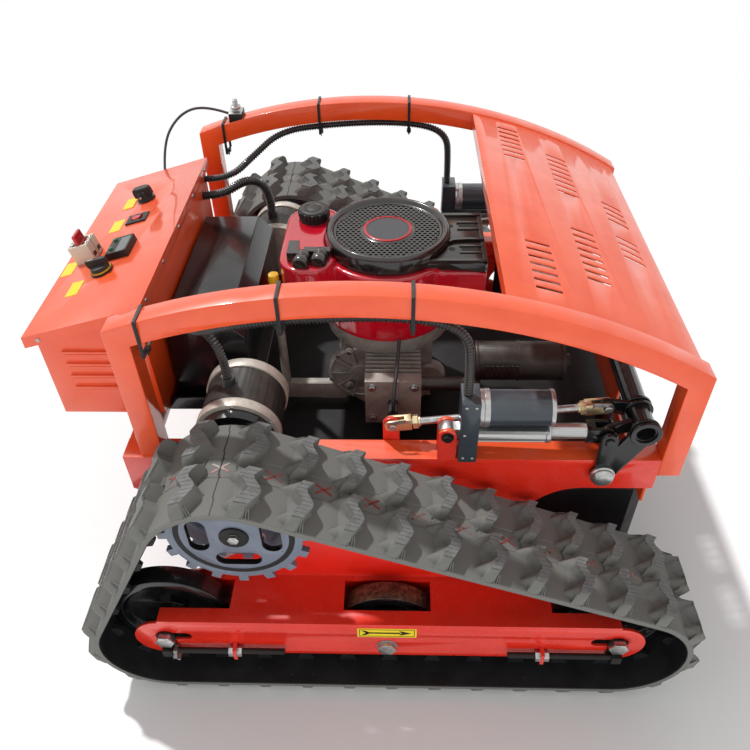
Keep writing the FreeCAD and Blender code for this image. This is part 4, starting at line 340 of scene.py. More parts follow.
# Silencer steel, heat-browned black.
SILENCER_STEEL = Finish("silencer_steel", "#1f1b1a", "#2c2421", 0.42, metallic=0.2, patch_mm=40.0,
                        grain_mm=1.0,
                        grain_depth_mm=0.04, speck="#5f554c", speck_mm=3.0, speck_above=0.7, dust=0.12)
# Black oxide on the tension screws.
BLACK_OXIDE = Finish("black_oxide", "#191817", "#26231f", 0.48, metallic=0.5, grain_mm=0.8,
                     grain_depth_mm=0.04)
# Pressed, self-coloured plastics of the controls.
BEIGE_ABS = Finish("beige_abs", "#d9cfc0", "#cfc4b3", 0.42, grain_mm=0.7, grain_depth_mm=0.02)
RED_ABS = Finish("red_abs", "#c1121d", "#ad0e18", 0.3, coat=0.3, grain_mm=0.7, grain_depth_mm=0.02)
GREEN_ABS = Finish("green_abs", "#1f6f4a", "#195e3e", 0.4, grain_mm=0.7, grain_depth_mm=0.02)
YELLOW_ABS = Finish("yellow_abs", "#e2b019", "#d2a013", 0.38, grain_mm=0.7, grain_depth_mm=0.02)
GREY_POLYPROPYLENE = Finish("grey_polypropylene", "#3a3b3f", "#434448", 0.5, grain_mm=0.7,
                            grain_depth_mm=0.03)
# Printed vinyl of the tags and the arrow.
YELLOW_VINYL = Finish("yellow_vinyl", "#f2d51d", "#ead017", 0.4, grain_mm=1.0, grain_depth_mm=0.01)
BLACK_VINYL = Finish("black_vinyl", "#121212", "#181817", 0.45, gloss=0.25, grain_mm=1.0, grain_depth_mm=0.01)
# Smoked window of the meter.
SMOKED_WINDOW = Finish("smoked_window", "#39423f", "#424c48", 0.12, coat=0.8, grain_depth_mm=0.0)

# Rusty red steel in the belt's windows.
WINDOW_STEEL = Finish("window_steel", "#8c2a22", "#8a8680", 0.45, metallic=0.3, patch_mm=60.0, grain_mm=0.8,
                      speck="#3a3432", speck_mm=6.0, speck_above=0.6)


def axis_frame(start: Point, end: Point) -> Matrix:
    """Returns a frame at start, in millimetres, whose z points at end."""
    turn = (Vector(end) - Vector(start)).to_track_quat("Z", "Y").to_matrix().to_4x4()
    return Matrix.Translation(Vector(start)) @ turn


class Shape:
    """The growing mesh of one piece, in millimetres. Slot is the finish that new faces take."""

    def __init__(self) -> None:
        """Starts an empty mesh."""
        self.mesh = bmesh.new()
        self.slot = 0

    def _take(self, first: int) -> "Shape":
        """Gives the faces made since first the present slot.

        Args:
            first: how many faces there were before.

        Returns:
            This shape.
        """
        self.mesh.faces.ensure_lookup_table()
        for face in self.mesh.faces[first:]:
            face.material_index = self.slot
        return self

    def loft(self, rings: Sequence[Sequence[Point]], closed: bool = False, capped: bool = True) -> "Shape":
        """Joins rings of points, each with as many points.

        Args:
            rings: the rings, in order.
            closed: true where the last ring meets the first.
            capped: true where the end rings get a face.

        Returns:
            This shape.
        """
        first = len(self.mesh.faces)
        made = [[self.mesh.verts.new(point) for point in ring] for ring in rings]
        count = len(made[0])
        pairs = list(zip(made, made[1:])) + ([(made[-1], made[0])] if closed else [])
        for low, high in pairs:
            for i in range(count):
                j = (i + 1) % count
                self.mesh.faces.new((low[i], low[j], high[j], high[i]))
        if capped and not closed:
            self.mesh.faces.new(made[0][::-1])
            self.mesh.faces.new(made[-1])
        return self._take(first)

    def box(self, low: Point, high: Point, turn: Matrix | None = None) -> "Shape":
        """Adds a block between two corners, turned by a frame where one is given.

        Args:
            low: its lowest corner.
            high: its highest corner.
            turn: the frame it stands in.

        Returns:
            This shape.
        """
        corners = [(low[0], low[1]), (high[0], low[1]), (high[0], high[1]), (low[0], high[1])]
        rings = [[Vector((x, y, z)) for x, y in corners] for z in (low[2], high[2])]
        if turn is not None:
            rings = [[turn @ point for point in ring] for ring in rings]
        return self.loft(rings)

    def lathe(self, profile: Iterable[tuple[float, float]], start: Point, end: Point, sides: int = 40,
              closed: bool = False) -> "Shape":
        """Turns a profile round an axis.

        Args:
            profile: pairs of radius and height from start.
            start: where the height is nought.
            end: a point the axis runs towards.
            sides: how many sides the round has.
            closed: true for a ring, whose profile meets itself.

        Returns:
            This shape.
        """
        place = axis_frame(start, end)
        rings = []
        for radius, height in profile:
            turns = [2 * math.pi * (k + 0.5) / sides for k in range(sides)]
            spots = [(radius * math.cos(a), radius * math.sin(a)) for a in turns]
            rings.append([place @ Vector((*spot, height)) for spot in spots])
        return self.loft(rings, closed)

    def rod(self, start: Point, end: Point, radius: float, sides: int = 32, soft: float = 0.0) -> "Shape":
        """Adds a round bar whose ends have a small chamfer.

        Args:
            start: the middle of one end.
            end: the middle of the other.
            radius: its radius.
            sides: how many sides its round has.
            soft: the chamfer, or nought for a usual one.

        Returns:
            This shape.
        """
        length = (Vector(end) - Vector(start)).length
        soft = soft or min(radius, length) * 0.08
        profile = [(radius - soft, 0), (radius, soft), (radius, length - soft), (radius - soft, length)]
        return self.lathe(profile, start, end, sides)

    def ring(self, start: Point, end: Point, outer: float, inner: float, sides: int = 40) -> "Shape":
        """Adds a flat ring between two points of its axis.

        Args:
            start: the middle of one face.
            end: the middle of the other.
            outer: the outer radius.
            inner: the inner radius.
            sides: how many sides its round has.

        Returns:
            This shape.
        """
        length = (Vector(end) - Vector(start)).length
        soft = min(outer - inner, length) * 0.15
        profile = [(inner, 0), (outer - soft, 0), (outer, soft), (outer, length - soft),
                   (outer - soft, length), (inner, length)]
        return self.lathe(profile, start, end, sides, closed=True)

    def bolt(self, place: Point, toward: Point, across: float, washer: float = 0.0) -> "Shape":
        """Adds a hexagon head that stands off a face.

        Args:
            place: the middle of the face.
            toward: the unit direction it stands in.
            across: the head's radius.
            washer: the washer's radius, or nought for none.

        Returns:
            This shape.
        """
        base, way = Vector(place), Vector(toward)
        lift = 0.0
        if washer:
            lift = across * 0.22
            self.lathe([(washer, 0), (washer, lift * 0.7), (washer * 0.93, lift)], base, base + way, 28)
        low = base + way * lift
        tall = across * 0.62
        self.lathe([(across, 0), (across, tall * 0.8), (across * 0.84, tall)], low, low + way, 6)
        return self.lathe([(across * 0.78, tall * 0.9), (across * 0.72, tall * 1.04)], low, low + way, 24)

    def stars(self, points: Iterable[tuple[Point, Point]], radius: float) -> "Shape":
        """Adds cross-slot pan screws.

        Args:
            points: pairs of a place and a direction.
            radius: the heads' radius.

        Returns:
            This shape.
        """
        for place, toward in points:
            base, way = Vector(place), Vector(toward)
            profile = [(radius, 0), (radius * 0.95, radius * 0.3), (radius * 0.6, radius * 0.5)]
            self.lathe(profile, base, base + way, 20)
        return self


def piece(shape: Shape, name: str, body: str, finishes: Sequence[Finish],
          replaces: Sequence[str] = (), edge_mm: float = 0.0, smooth: float = 32.0) -> bpy.types.Object:
    """Turns a shape into a finished piece on its body.

    Args:
        shape: the mesh, in millimetres.
        name: the piece's name.
        body: the CAD body it rides on.
        finishes: one finish for each slot number used.
        replaces: CAD nodes it stands for.
        edge_mm: how wide its edges are rounded.
        smooth: the angle in degrees above which an edge stays sharp.

    Returns:
        The piece.
    """
    mesh = bpy.data.meshes.new(name)
    bmesh.ops.remove_doubles(shape.mesh, verts=shape.mesh.verts, dist=0.002)
    bmesh.ops.recalc_face_normals(shape.mesh, faces=shape.mesh.faces)
    shape.mesh.to_mesh(mesh)
    shape.mesh.free()
    mesh.transform(Matrix.Scale(MM, 4))
    return finished(mesh, name, body, finishes, replaces, edge_mm, smooth)


def finished(mesh: bpy.types.Mesh, name: str, body: str, finishes: Sequence[Finish],
             replaces: Sequence[str], edge_mm: float, smooth: float) -> bpy.types.Object:
    """Rounds, shades and dresses a mesh that is in metres, and puts it on its body.

    Args:
        mesh: the mesh, in metres.
        name: the piece's name.
        body: the CAD body it rides on.
        finishes: one finish for each slot number.
        replaces: CAD nodes it stands for.
        edge_mm: how wide its edges are rounded.
        smooth: the angle in degrees above which an edge stays sharp.

    Returns:
        The piece.
    """
    made = linked(name, mesh)
    if mesh.materials:  # Clearing sets every face's slot to 0, so a new mesh is left alone.
        mesh.materials.clear()
    for finish in finishes:
        mesh.materials.append(finish.material())
    mesh.shade_smooth()
    if edge_mm:
        bevel = made.modifiers.new("edges", "BEVEL")
        bevel.width = edge_mm * MM
        bevel.segments = 2
        bevel.limit_method = "ANGLE"
        bevel.angle_limit = math.radians(smooth)
        bevel.harden_normals = True
    else:
        mesh.set_sharp_from_angle(angle=math.radians(smooth))
    if replaces:
        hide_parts(*replaces)
    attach(made, body)
    log.info("%s rides on %s", name, body)
    return made


@dataclass(frozen=True)
class Patch:
    """One flat face of a CAD node: its middle and corners in millimetres, and its normal."""

    middle: Vector
    normal: Vector
    corners: tuple

    def within(self, x: float, z: float, low: float, high: float) -> bool:
        """Says whether every corner is between two distances from an axis along y through x and z."""
        return all(low <= math.hypot(point.x - x, point.z - z) <= high for point in self.corners)


Rule = tuple[int, Callable[[Patch], bool]]


def softened(node: str, finishes: Sequence[Finish], edge_mm: float = 0.8, rules: Sequence[Rule] = ()
             ) -> bpy.types.Object:
    """Makes a copy of a CAD node with rounded edges stand for it.

    Args:
        node: the CAD node.
        finishes: one finish for each slot number.
        edge_mm: how wide the edges are rounded.
        rules: a slot number and a test of a face; the last that holds counts.

    Returns:
        The piece.
    """
    source = frame["nodes"][node]
    copy = bmesh.new()
    copy.from_mesh(source.data)
    bmesh.ops.remove_doubles(copy, verts=copy.verts, dist=0.00001)
    bmesh.ops.dissolve_limit(copy, angle_limit=math.radians(0.5), verts=copy.verts, edges=copy.edges,
                             use_dissolve_boundaries=False)
    for face in copy.faces:
        face.material_index = 0
        patch = Patch(face.calc_center_median() / MM, face.normal, tuple(vert.co / MM for vert in face.verts))
        for number, test in rules:
            if test(patch):
                face.material_index = number
    mesh = bpy.data.meshes.new(node + "_finished")
    copy.to_mesh(mesh)
    copy.free()
    return finished(mesh, node + "_finished", source["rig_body"], finishes, [node], edge_mm, 25.0)


def away(middle: Vector, x: float, z: float) -> float:
    """Returns how far a point is from an axis along y through x and z."""
    return math.hypot(middle.x - x, middle.z - z)


def tree_with(name: str, inputs: Sequence[tuple[str, str]]) -> tuple[Tree, bpy.types.Node]:
    """Starts a geometry node tree.

    Args:
        name: the tree's name.
        inputs: the name and socket type of each input after the geometry.

    Returns:
        The tree and its input node.
    """
    tree = bpy.data.node_groups.new(name, "GeometryNodeTree")
    tree.interface.new_socket("Geometry", in_out="INPUT", socket_type="NodeSocketGeometry")
    for label, kind in inputs:
        tree.interface.new_socket(label, in_out="INPUT", socket_type=kind)
    tree.interface.new_socket("Geometry", in_out="OUTPUT", socket_type="NodeSocketGeometry")
    return tree, add_node(tree, "NodeGroupInput")


def end_tree(tree: Tree, geometry, material) -> None:
    """Ends a tree in Realize Instances and Set Material.

    Args:
        tree: the tree.
        geometry: the socket of what it has made.
        material: the socket of its finish.
    """
    real = add_node(tree, "GeometryNodeRealizeInstances", links={0: geometry})
    dressed = add_node(tree, "GeometryNodeSetMaterial",
                       links={"Geometry": real.outputs[0], "Material": material})
    add_node(tree, "NodeGroupOutput", links={0: dressed.outputs[0]})


def settled(made: bpy.types.Object) -> bpy.types.Mesh:
    """Turns what an object's modifiers or its curve make into a plain mesh.

    Args:
        made: the object; it is removed.

    Returns:
        The mesh, in metres.
    """
    bpy.context.view_layer.update()
    graph = bpy.context.evaluated_depsgraph_get()
    mesh = bpy.data.meshes.new_from_object(made.evaluated_get(graph), depsgraph=graph)
    made.modifiers.clear()
    bpy.data.objects.remove(made)
    return mesh


def grown(carrier: bpy.types.Object, tree: Tree, values: dict) -> bpy.types.Mesh:
    """Runs a tree on a carrier and returns the plain mesh it makes.

    Args:
        carrier: the object whose geometry the tree starts from; it is removed.
        tree: the tree.
        values: the inputs by their names.

    Returns:
        The mesh, in metres.
    """
    modifier = carrier.modifiers.new("grow", "NODES")
    modifier.node_group = tree
    for item in tree.interface.items_tree:
        if item.in_out == "INPUT" and item.name in values:
            modifier[item.identifier] = values[item.name]
    return settled(carrier)


def linked(name: str, data: bpy.types.ID) -> bpy.types.Object:
    """Makes an object and links it to the scene.

    Args:
        name: the object's name.
        data: its mesh, curve, lamp or camera.

    Returns:
        The object.
    """
    made = bpy.data.objects.new(name, data)
    bpy.context.scene.collection.objects.link(made)
    return made


def path_object(name: str, points: Sequence[Point], closed: bool, smooth: bool) -> bpy.types.Object:
    """Makes a curve that a tree or a cord follows.

    Args:
        name: the curve's name.
        points: its points, in millimetres.
        closed: true where it meets itself.
        smooth: true for a NURBS spline near the points.

    Returns:
        The curve's object.
    """
    curve = bpy.data.curves.new(name, "CURVE")
    curve.dimensions = "3D"
    spline = curve.splines.new("NURBS" if smooth else "POLY")
    spline.points.add(len(points) - 1)
    for slot, point in zip(spline.points, points):
        slot.co = (*(Vector(point) * MM), 1.0)
    spline.use_cyclic_u = closed
    if smooth:
        spline.order_u = 3
        spline.use_endpoint_u = True
        spline.resolution_u = 24
    return linked(name, curve)


def cord(name: str, route: Sequence[Point], radius_mm: float, smoothness: int) -> bpy.types.Mesh:
    """Makes a plain round cord along a route.

    Args:
        name: the curve's name.
        route: its points, in millimetres.
        radius_mm: half its thickness.
        smoothness: how finely its round is divided.

    Returns:
        The mesh, in metres.
    """
    made = path_object(name, route, closed=False, smooth=True)
    made.data.bevel_depth = radius_mm * MM
    made.data.bevel_resolution = smoothness
    made.data.use_fill_caps = True
    return settled(made)


def circle(x: float, z: float, radius: float, count: int,
           first_angle: float = 0.0) -> list[tuple[float, float]]:
    """Returns points evenly spaced on a circle.

    Args:
        x: the middle's first coordinate.
        z: the middle's second coordinate.
        radius: the circle's radius.
        count: how many points there are.
        first_angle: where the first one stands, in degrees.

    Returns:
        The points.
    """
    angles = [math.radians(first_angle + 360 * k / count) for k in range(count)]
    return [(x + radius * math.cos(a), z + radius * math.sin(a)) for a in angles]


def shape_object(shape: Shape, name: str) -> bpy.types.Object:
    """Makes an object of a shape for a tree to repeat.

    Args:
        shape: the mesh, in millimetres.
        name: the object's name.

    Returns:
        The object, in metres.
    """
    mesh = bpy.data.meshes.new(name)
    bmesh.ops.recalc_face_normals(shape.mesh, faces=shape.mesh.faces)
    shape.mesh.to_mesh(mesh)
    shape.mesh.free()
    mesh.transform(Matrix.Scale(MM, 4))
    return linked(name, mesh)


@dataclass
class Track:
    """One rubber track: its loop round three wheels, and the links it repeats."""

    word: str
    side: int
    bends: tuple = ((-343.0, 132.0, 100.0), (-201.0, 368.0, 115.0), (396.0, 132.0, 100.0))
    middle_y: float = 433.0
    half_width: float = 83.0
    half_carcass: float = 5.0
    links: int = 32
    phase_share: float = 0.95
    lug_height: float = 22.0
    lug_half_width: float = 41.0
    crest_line: tuple = ((-1.0, 1.0), (-0.78, 5.0), (-0.16, 19.0), (0.1, 13.0), (0.36, 5.0), (0.62, 11.0),
                         (0.86, 18.0), (1.0, 16.0))
    steps: int = 9
    splice_near: tuple = (-238.0, 482.0)

    def runs(self) -> list[tuple]:
        """Works out the belt's bends and straight runs.

        Returns:
            Each bend's centre, reach, first angle and turn, with both ends of the run after it.
        """
        found = []
        ways = []
        for i, (x, z, radius) in enumerate(self.bends):
            nx, nz, nr = self.bends[(i + 1) % 3]
            run = Vector((nx - x, nz - z))
            ways.append(math.atan2(run.y, run.x) + math.pi / 2 - math.asin((radius - nr) / run.length))
        for i, (x, z, radius) in enumerate(self.bends):
            nx, nz, nr = self.bends[(i + 1) % 3]
            turn = (ways[i - 1] - ways[i]) % (2 * math.pi)
            out = Vector((math.cos(ways[i]), math.sin(ways[i])))
            start = Vector((x, z)) + out * (radius + self.half_carcass)
            end = Vector((nx, nz)) + out * (nr + self.half_carcass)
            found.append((Vector((x, z)), radius + self.half_carcass, ways[i - 1], turn, start, end))
        return found

    def loop(self, count: int) -> tuple[list[Point], float]:
        """Works out the middle line of the carcass.

        Args:
            count: how many points it has, at even steps.

        Returns:
            The points, and the loop's length.
        """
        runs = self.runs()
        total = sum(reach * turn + (end - start).length for _, reach, _, turn, start, end in runs)
        points = []
        for k in range(count):
            left = (total * (k / count + self.phase_share / self.links)) % total
            for centre, reach, first, turn, start, end in runs:
                if left <= reach * turn:
                    angle = first - left / reach
                    spot = centre + Vector((math.cos(angle), math.sin(angle))) * reach
                    break
                left -= reach * turn
                if left <= (end - start).length:
                    spot = start + (end - start).normalized() * left
                    break
                left -= (end - start).length
            points.append((spot.x, self.middle_y * self.side, spot.y))
        return points, total

    def crest(self, across: float) -> tuple[float, float]:
        """Works out how a lug's ribbed crest zigzags.

        Args:
            across: the share across the lug, from minus one to one.

        Returns:
            Where the crest starts and ends along the belt.
        """
        for (left, low), (right, high) in zip(self.crest_line, self.crest_line[1:]):
            if across <= right:
                break
        tip = low + (high - low) * (across - left) / (right - left)
        return tip - 14.0 - 3.0 * max(0.0, 1 - abs(across + 0.5) / 0.3), tip

    def profile(self, across: float) -> list[tuple[float, float]]:
        """Works out a lug's outline along the belt.

        Args:
            across: the share across the lug, from minus one to one.

        Returns:
            Pairs of place and height, from its back foot to its front foot.
        """
        base, full = self.half_carcass, self.lug_height
        edge = max(0.0, (abs(across) - 0.78) / 0.22)
        top = base + full * (1 - edge ** 1.7)
        back, tip = self.crest(across)
        ridge = max(0.0, 1 - abs(abs(across) - 0.6) / 0.26)
        hollow = max(0.0, 1 - abs(across - 0.08) / 0.42)
        foot = -12.0 - 15.0 * ridge * (1 - edge) - 2.0 * hollow
        middle = base + (top - base) * (0.62 + 0.24 * ridge - 0.4 * hollow)
        front = tip * (1 - 0.3 * edge) + 3.0 + 4.0 * max(0.0, 1 - abs(across + 0.16) / 0.2)
        return [(foot, base - 0.5), (foot * 0.62 + back * 0.38, base + (middle - base) * 0.5),
                (back - 3.5, middle), (back, top - 1.6), (tip, top - 1.2), (tip + 0.8, top - 3.6),
                (tip + 1.6, base + (top - base) * 0.25), (front, base - 0.5)]

    def add_lug(self, shape: Shape, hand: int) -> None:
        """Adds one lug: its body, the ribs of its zigzag crest and the fan of fine ribs on its outer end.

        Args:
            shape: the link it grows on.
            hand: minus one for the right row, one for the left.
        """
        middle = (self.half_width - self.lug_half_width) * hand
        top = self.half_carcass + self.lug_height
        shape.slot = 0
        stations = [k / 14 for k in range(-14, 15)]
        shape.loft([[(x, middle + v * self.lug_half_width, z) for x, z in self.profile(v)] for v in stations])
        shape.slot = 1
        ribs = 9
        for k in range(ribs):
            flat = []
            for v, way in (((k / ribs * 2 - 1) * 0.76 + 0.007, 1),
                           (((k + 1) / ribs * 2 - 1) * 0.76 - 0.007, -1)):
                back, tip = self.crest(v)
                y = middle + v * self.lug_half_width
                ends = [(back - 0.7, y), (tip + 0.8, y)]
                flat += ends if way > 0 else ends[::-1]
            shape.loft([[(x, y, top - 3.0) for x, y in flat], [(x, y, top + 0.3) for x, y in flat]])
        shape.slot = 0
        edge = self.half_width * hand
        for k in range(7):
            foot, head = (k - 3) * 4.4, (k - 3) * 2.4 + 2.0
            rings = []
            for y, z, x in ((edge - 0.3 * hand, self.half_carcass - 2.0, foot),
                            (edge - 7.6 * hand, top - 9.0, head)):
                rings.append([(x - 0.5, y - 1.0 * hand, z), (x + 0.5, y - 1.0 * hand, z),
                              (x + 0.5, y, z + 0.6), (x - 0.5, y, z + 0.6)])
            shape.loft(rings)

    def link(self, pitch: float) -> Shape:
        """Makes one link laid flat: carcass, two lugs, raised block between windows and guide horns.

        Args:
            pitch: the length of a link.

        Returns:
            The link.
        """
        shape = Shape()
        wide, thick = self.half_width, self.half_carcass
        half = [(wide - 1.2, -thick), (wide, -thick + 1.2), (wide - 0.8, -0.8), (wide - 0.8, 0.8),
                (wide, thick - 1.2),
                (wide - 1.2, thick), (20.0, thick), (18.5, thick - 1.3), (6.0, thick - 1.3)]
        section = half + [(-y, z) for y, z in reversed(half)]
        rings = []
        for k in range(self.steps + 1):
            x = pitch * (k / self.steps - 0.5)
            rings.append([(x, y, z) for y, z in section])
        shape.loft(rings, capped=False)
        for hand in (-1, 1):
            self.add_lug(shape, hand)
            low, high = sorted((28.0 * hand, 38.0 * hand))
            flat = [(15.0, low), (15.0, high), (-15.0, high), (-15.0, low)]
            tips = [(x * 0.6, (y - 33 * hand) * 0.6 + 33 * hand) for x, y in flat]
            shape.loft([[(x, y, -thick + 0.5) for x, y in flat], [(x, y, -thick - 12.5) for x, y in tips],
                        [(x * 0.8, y, -thick - 14.0) for x, y in tips]])
        block = [(14.0, 17.5), (-14.0, 17.5), (-14.0, -17.5), (14.0, -17.5)]
        shape.loft([[(x, y, thick - 1.6) for x, y in block],
                    [(x * 0.94, y * 0.96, thick + 2.2) for x, y in block]])
        return shape

    def window(self, pitch: float) -> Shape:
        """Makes the sunk window between two links' blocks.

        Args:
            pitch: the length of a link.

        Returns:
            The window.
        """
        shape = Shape()
        half, bits = pitch / 2 - 15.5, 6
        for k in range(bits):
            x = pitch / 2 - half + k * half * 2 / bits
            shape.box((x, -16.5, self.half_carcass - 1.5),
                      (x + half * 2 / bits + 0.05, 16.5, self.half_carcass - 0.8))
        return shape

    def cross(self, pitch: float) -> Shape:
        """Makes the worn steel cross that shows in a window.

        Args:
            pitch: the length of a link.

        Returns:
            The cross.
        """
        shape = Shape()
        thick = self.half_carcass
        for angle in (0.66, -0.5):
            turn = Matrix.Translation(Vector((pitch / 2, 0, 0))) @ Matrix.Rotation(angle, 4, "Z")
            for k in range(7):
                shape.box((4 * k - 14, -1.5, thick - 1.6), (4 * k - 9.95, 1.5, thick - 0.3), turn)
        return shape

    def tree(self) -> Tree:
        """Makes the tree that lays links along a straight line and bends them round the loop.

        Returns:
            The tree, made once.
        """
        known = bpy.data.node_groups.get("belt_of_links")
        if known:
            return known
        inputs = (("Path", "NodeSocketObject"), ("Link", "NodeSocketObject"), ("Links", "NodeSocketInt"),
                  ("Pitch", "NodeSocketFloat"), ("Length", "NodeSocketFloat"),
                  ("Finish", "NodeSocketMaterial"))
        tree, inlet = tree_with("belt_of_links", inputs)
        path = add_node(tree, "GeometryNodeObjectInfo", links={0: inlet.outputs["Path"]}).outputs["Geometry"]
        link = add_node(tree, "GeometryNodeObjectInfo", links={0: inlet.outputs["Link"]}).outputs["Geometry"]
        step = add_node(tree, "ShaderNodeCombineXYZ", links={0: inlet.outputs["Pitch"]}).outputs[0]
        line = add_node(tree, "GeometryNodeMeshLine", {"mode": "OFFSET"},
                        {"Count": inlet.outputs["Links"], "Offset": step}).outputs[0]
        laid = add_node(tree, "GeometryNodeInstanceOnPoints",
                        links={"Points": line, "Instance": link}).outputs[0]
        real = add_node(tree, "GeometryNodeRealizeInstances", links={0: laid}).outputs[0]
        spot = add_node(tree, "ShaderNodeSeparateXYZ",
                        links={0: add_node(tree, "GeometryNodeInputPosition").outputs[0]})
        along = reckon(tree, "FLOORED_MODULO", spot.outputs[0], inlet.outputs["Length"])
        sample = add_node(tree, "GeometryNodeSampleCurve", {"mode": "LENGTH", "use_all_curves": True},
                          {"Curves": path, "Length": along})
        out = add_node(tree, "ShaderNodeVectorMath", {"operation": "CROSS_PRODUCT", 1: Axis.Y.value},
                       {0: sample.outputs["Tangent"]}).outputs[0]
        unit = add_node(tree, "ShaderNodeVectorMath", {"operation": "NORMALIZE"}, {0: out}).outputs[0]
        lifted = add_node(tree, "ShaderNodeVectorMath", {"operation": "SCALE"},
                          {0: unit, "Scale": spot.outputs[2]}).outputs[0]
        beside = add_node(tree, "ShaderNodeCombineXYZ", links={1: spot.outputs[1]}).outputs[0]
        moved = add_node(tree, "ShaderNodeVectorMath", {"operation": "ADD"},
                         {0: lifted, 1: beside}).outputs[0]
        place = add_node(tree, "ShaderNodeVectorMath", {"operation": "ADD"},
                         {0: sample.outputs["Position"], 1: moved}).outputs[0]
        bent = add_node(tree, "GeometryNodeSetPosition",
                        links={"Geometry": real, "Position": place}).outputs[0]
        joined = add_node(tree, "GeometryNodeMergeByDistance", {"Distance": 0.00008},
                          {"Geometry": bent}).outputs[0]
        end_tree(tree, joined, inlet.outputs["Finish"])
        return tree

    def build(self) -> None:
        """Builds the belt and the crosses in its windows."""
        points, total = self.loop(640)
        pitch = total / self.links
        path = path_object("belt_path", points, closed=True, smooth=False)
        for label, made, finish, stands in (
            ("rubber_belt_", self.link(pitch), TRACK_RUBBER, ["rubber_track_" + self.word]),
            ("belt_windows_", self.window(pitch), TRACK_RUBBER, []),
            ("belt_crosses_", self.cross(pitch), WINDOW_STEEL, []),
        ):
            part = shape_object(made, "link")
            carrier = linked("carrier", bpy.data.meshes.new("carrier"))
            values = {"Path": path, "Link": part, "Links": self.links, "Pitch": pitch * MM,
                      "Length": total * MM, "Finish": finish.material()}
            mesh = grown(carrier, self.tree(), values)
            bpy.data.objects.remove(part)
            dress = [finish, WORN_AND_LIT_RUBBER, CLEAN_RUBBER] if stands else [finish]
            made = finished(mesh, label + self.word, "frame", dress, stands, 0.0, 38.0)
            if stands:
                self.mark_faces(made.data, points)
        bpy.data.objects.remove(path)
        self.splice(points)

    def mark_faces(self, mesh: bpy.types.Mesh, points: Sequence[Point]) -> None:
        """Gives the lugs' crests the second finish and the belt's inner side the third.

        Args:
            mesh: the belt.
            points: points along the middle of its carcass, in millimetres.
        """
        near = KDTree(len(points))
        for index, point in enumerate(points):
            near.insert(Vector((point[0], 0, point[2])), index)
        near.balance()
        crown = self.half_carcass + self.lug_height
        for polygon in mesh.polygons:
            centre = polygon.center / MM
            spot, index, _ = near.find(Vector((centre.x, 0, centre.z)))
            before, after = points[index - 1], points[(index + 1) % len(points)]
            way = Vector((after[0] - before[0], 0, after[2] - before[2])).normalized()
            outward = Vector((-way.z, 0, way.x))
            height = (centre - spot).dot(outward)
            # Crest faces take the paler rubber: scuffed wear and painted light on the crests.
            if height > crown - 0.4:
                polygon.material_index = 1
            elif height < 0.9 - self.half_carcass:
                polygon.material_index = 2
            else:
                polygon.material_index = 0

    def splice(self, points: Sequence[Point]) -> None:
        """Adds the dark line across the belt where its ends are joined, between two rows of lugs.

        Args:
            points: points along the middle of the carcass, in millimetres.
        """
        shape = Shape()
        x, z = self.splice_near
        start = min(range(len(points)), key=lambda i: abs(points[i][0] - x) + abs(points[i][2] - z))
        step = len(points) / self.links
        index = round(round(start / step - 0.5) * step + step * 0.5) % len(points)
        spot, after = Vector(points[index]), Vector(points[(index + 1) % len(points)])
        way = (after - spot).normalized()
        outward = Vector((-way.z, 0, way.x))
        turn = Matrix((way, Vector(Axis.Y.value), outward)).transposed().to_4x4()
        place = Matrix.Translation(spot) @ turn
        bits = 12
        width = (2 * self.half_width - 1.6) / bits
        low, high = self.half_carcass - 2.0, self.half_carcass + 0.25
        for k in range(bits):
            y = 1.0 - self.half_width + width * k
            lean = 0.9 * math.sin(k * 2.1)
            shape.box((lean - 0.8, y, low), (lean + 0.8, y + width + 0.2, high), place)
        piece(shape, "belt_splice_" + self.word, "frame", [BLACK_OXIDE])


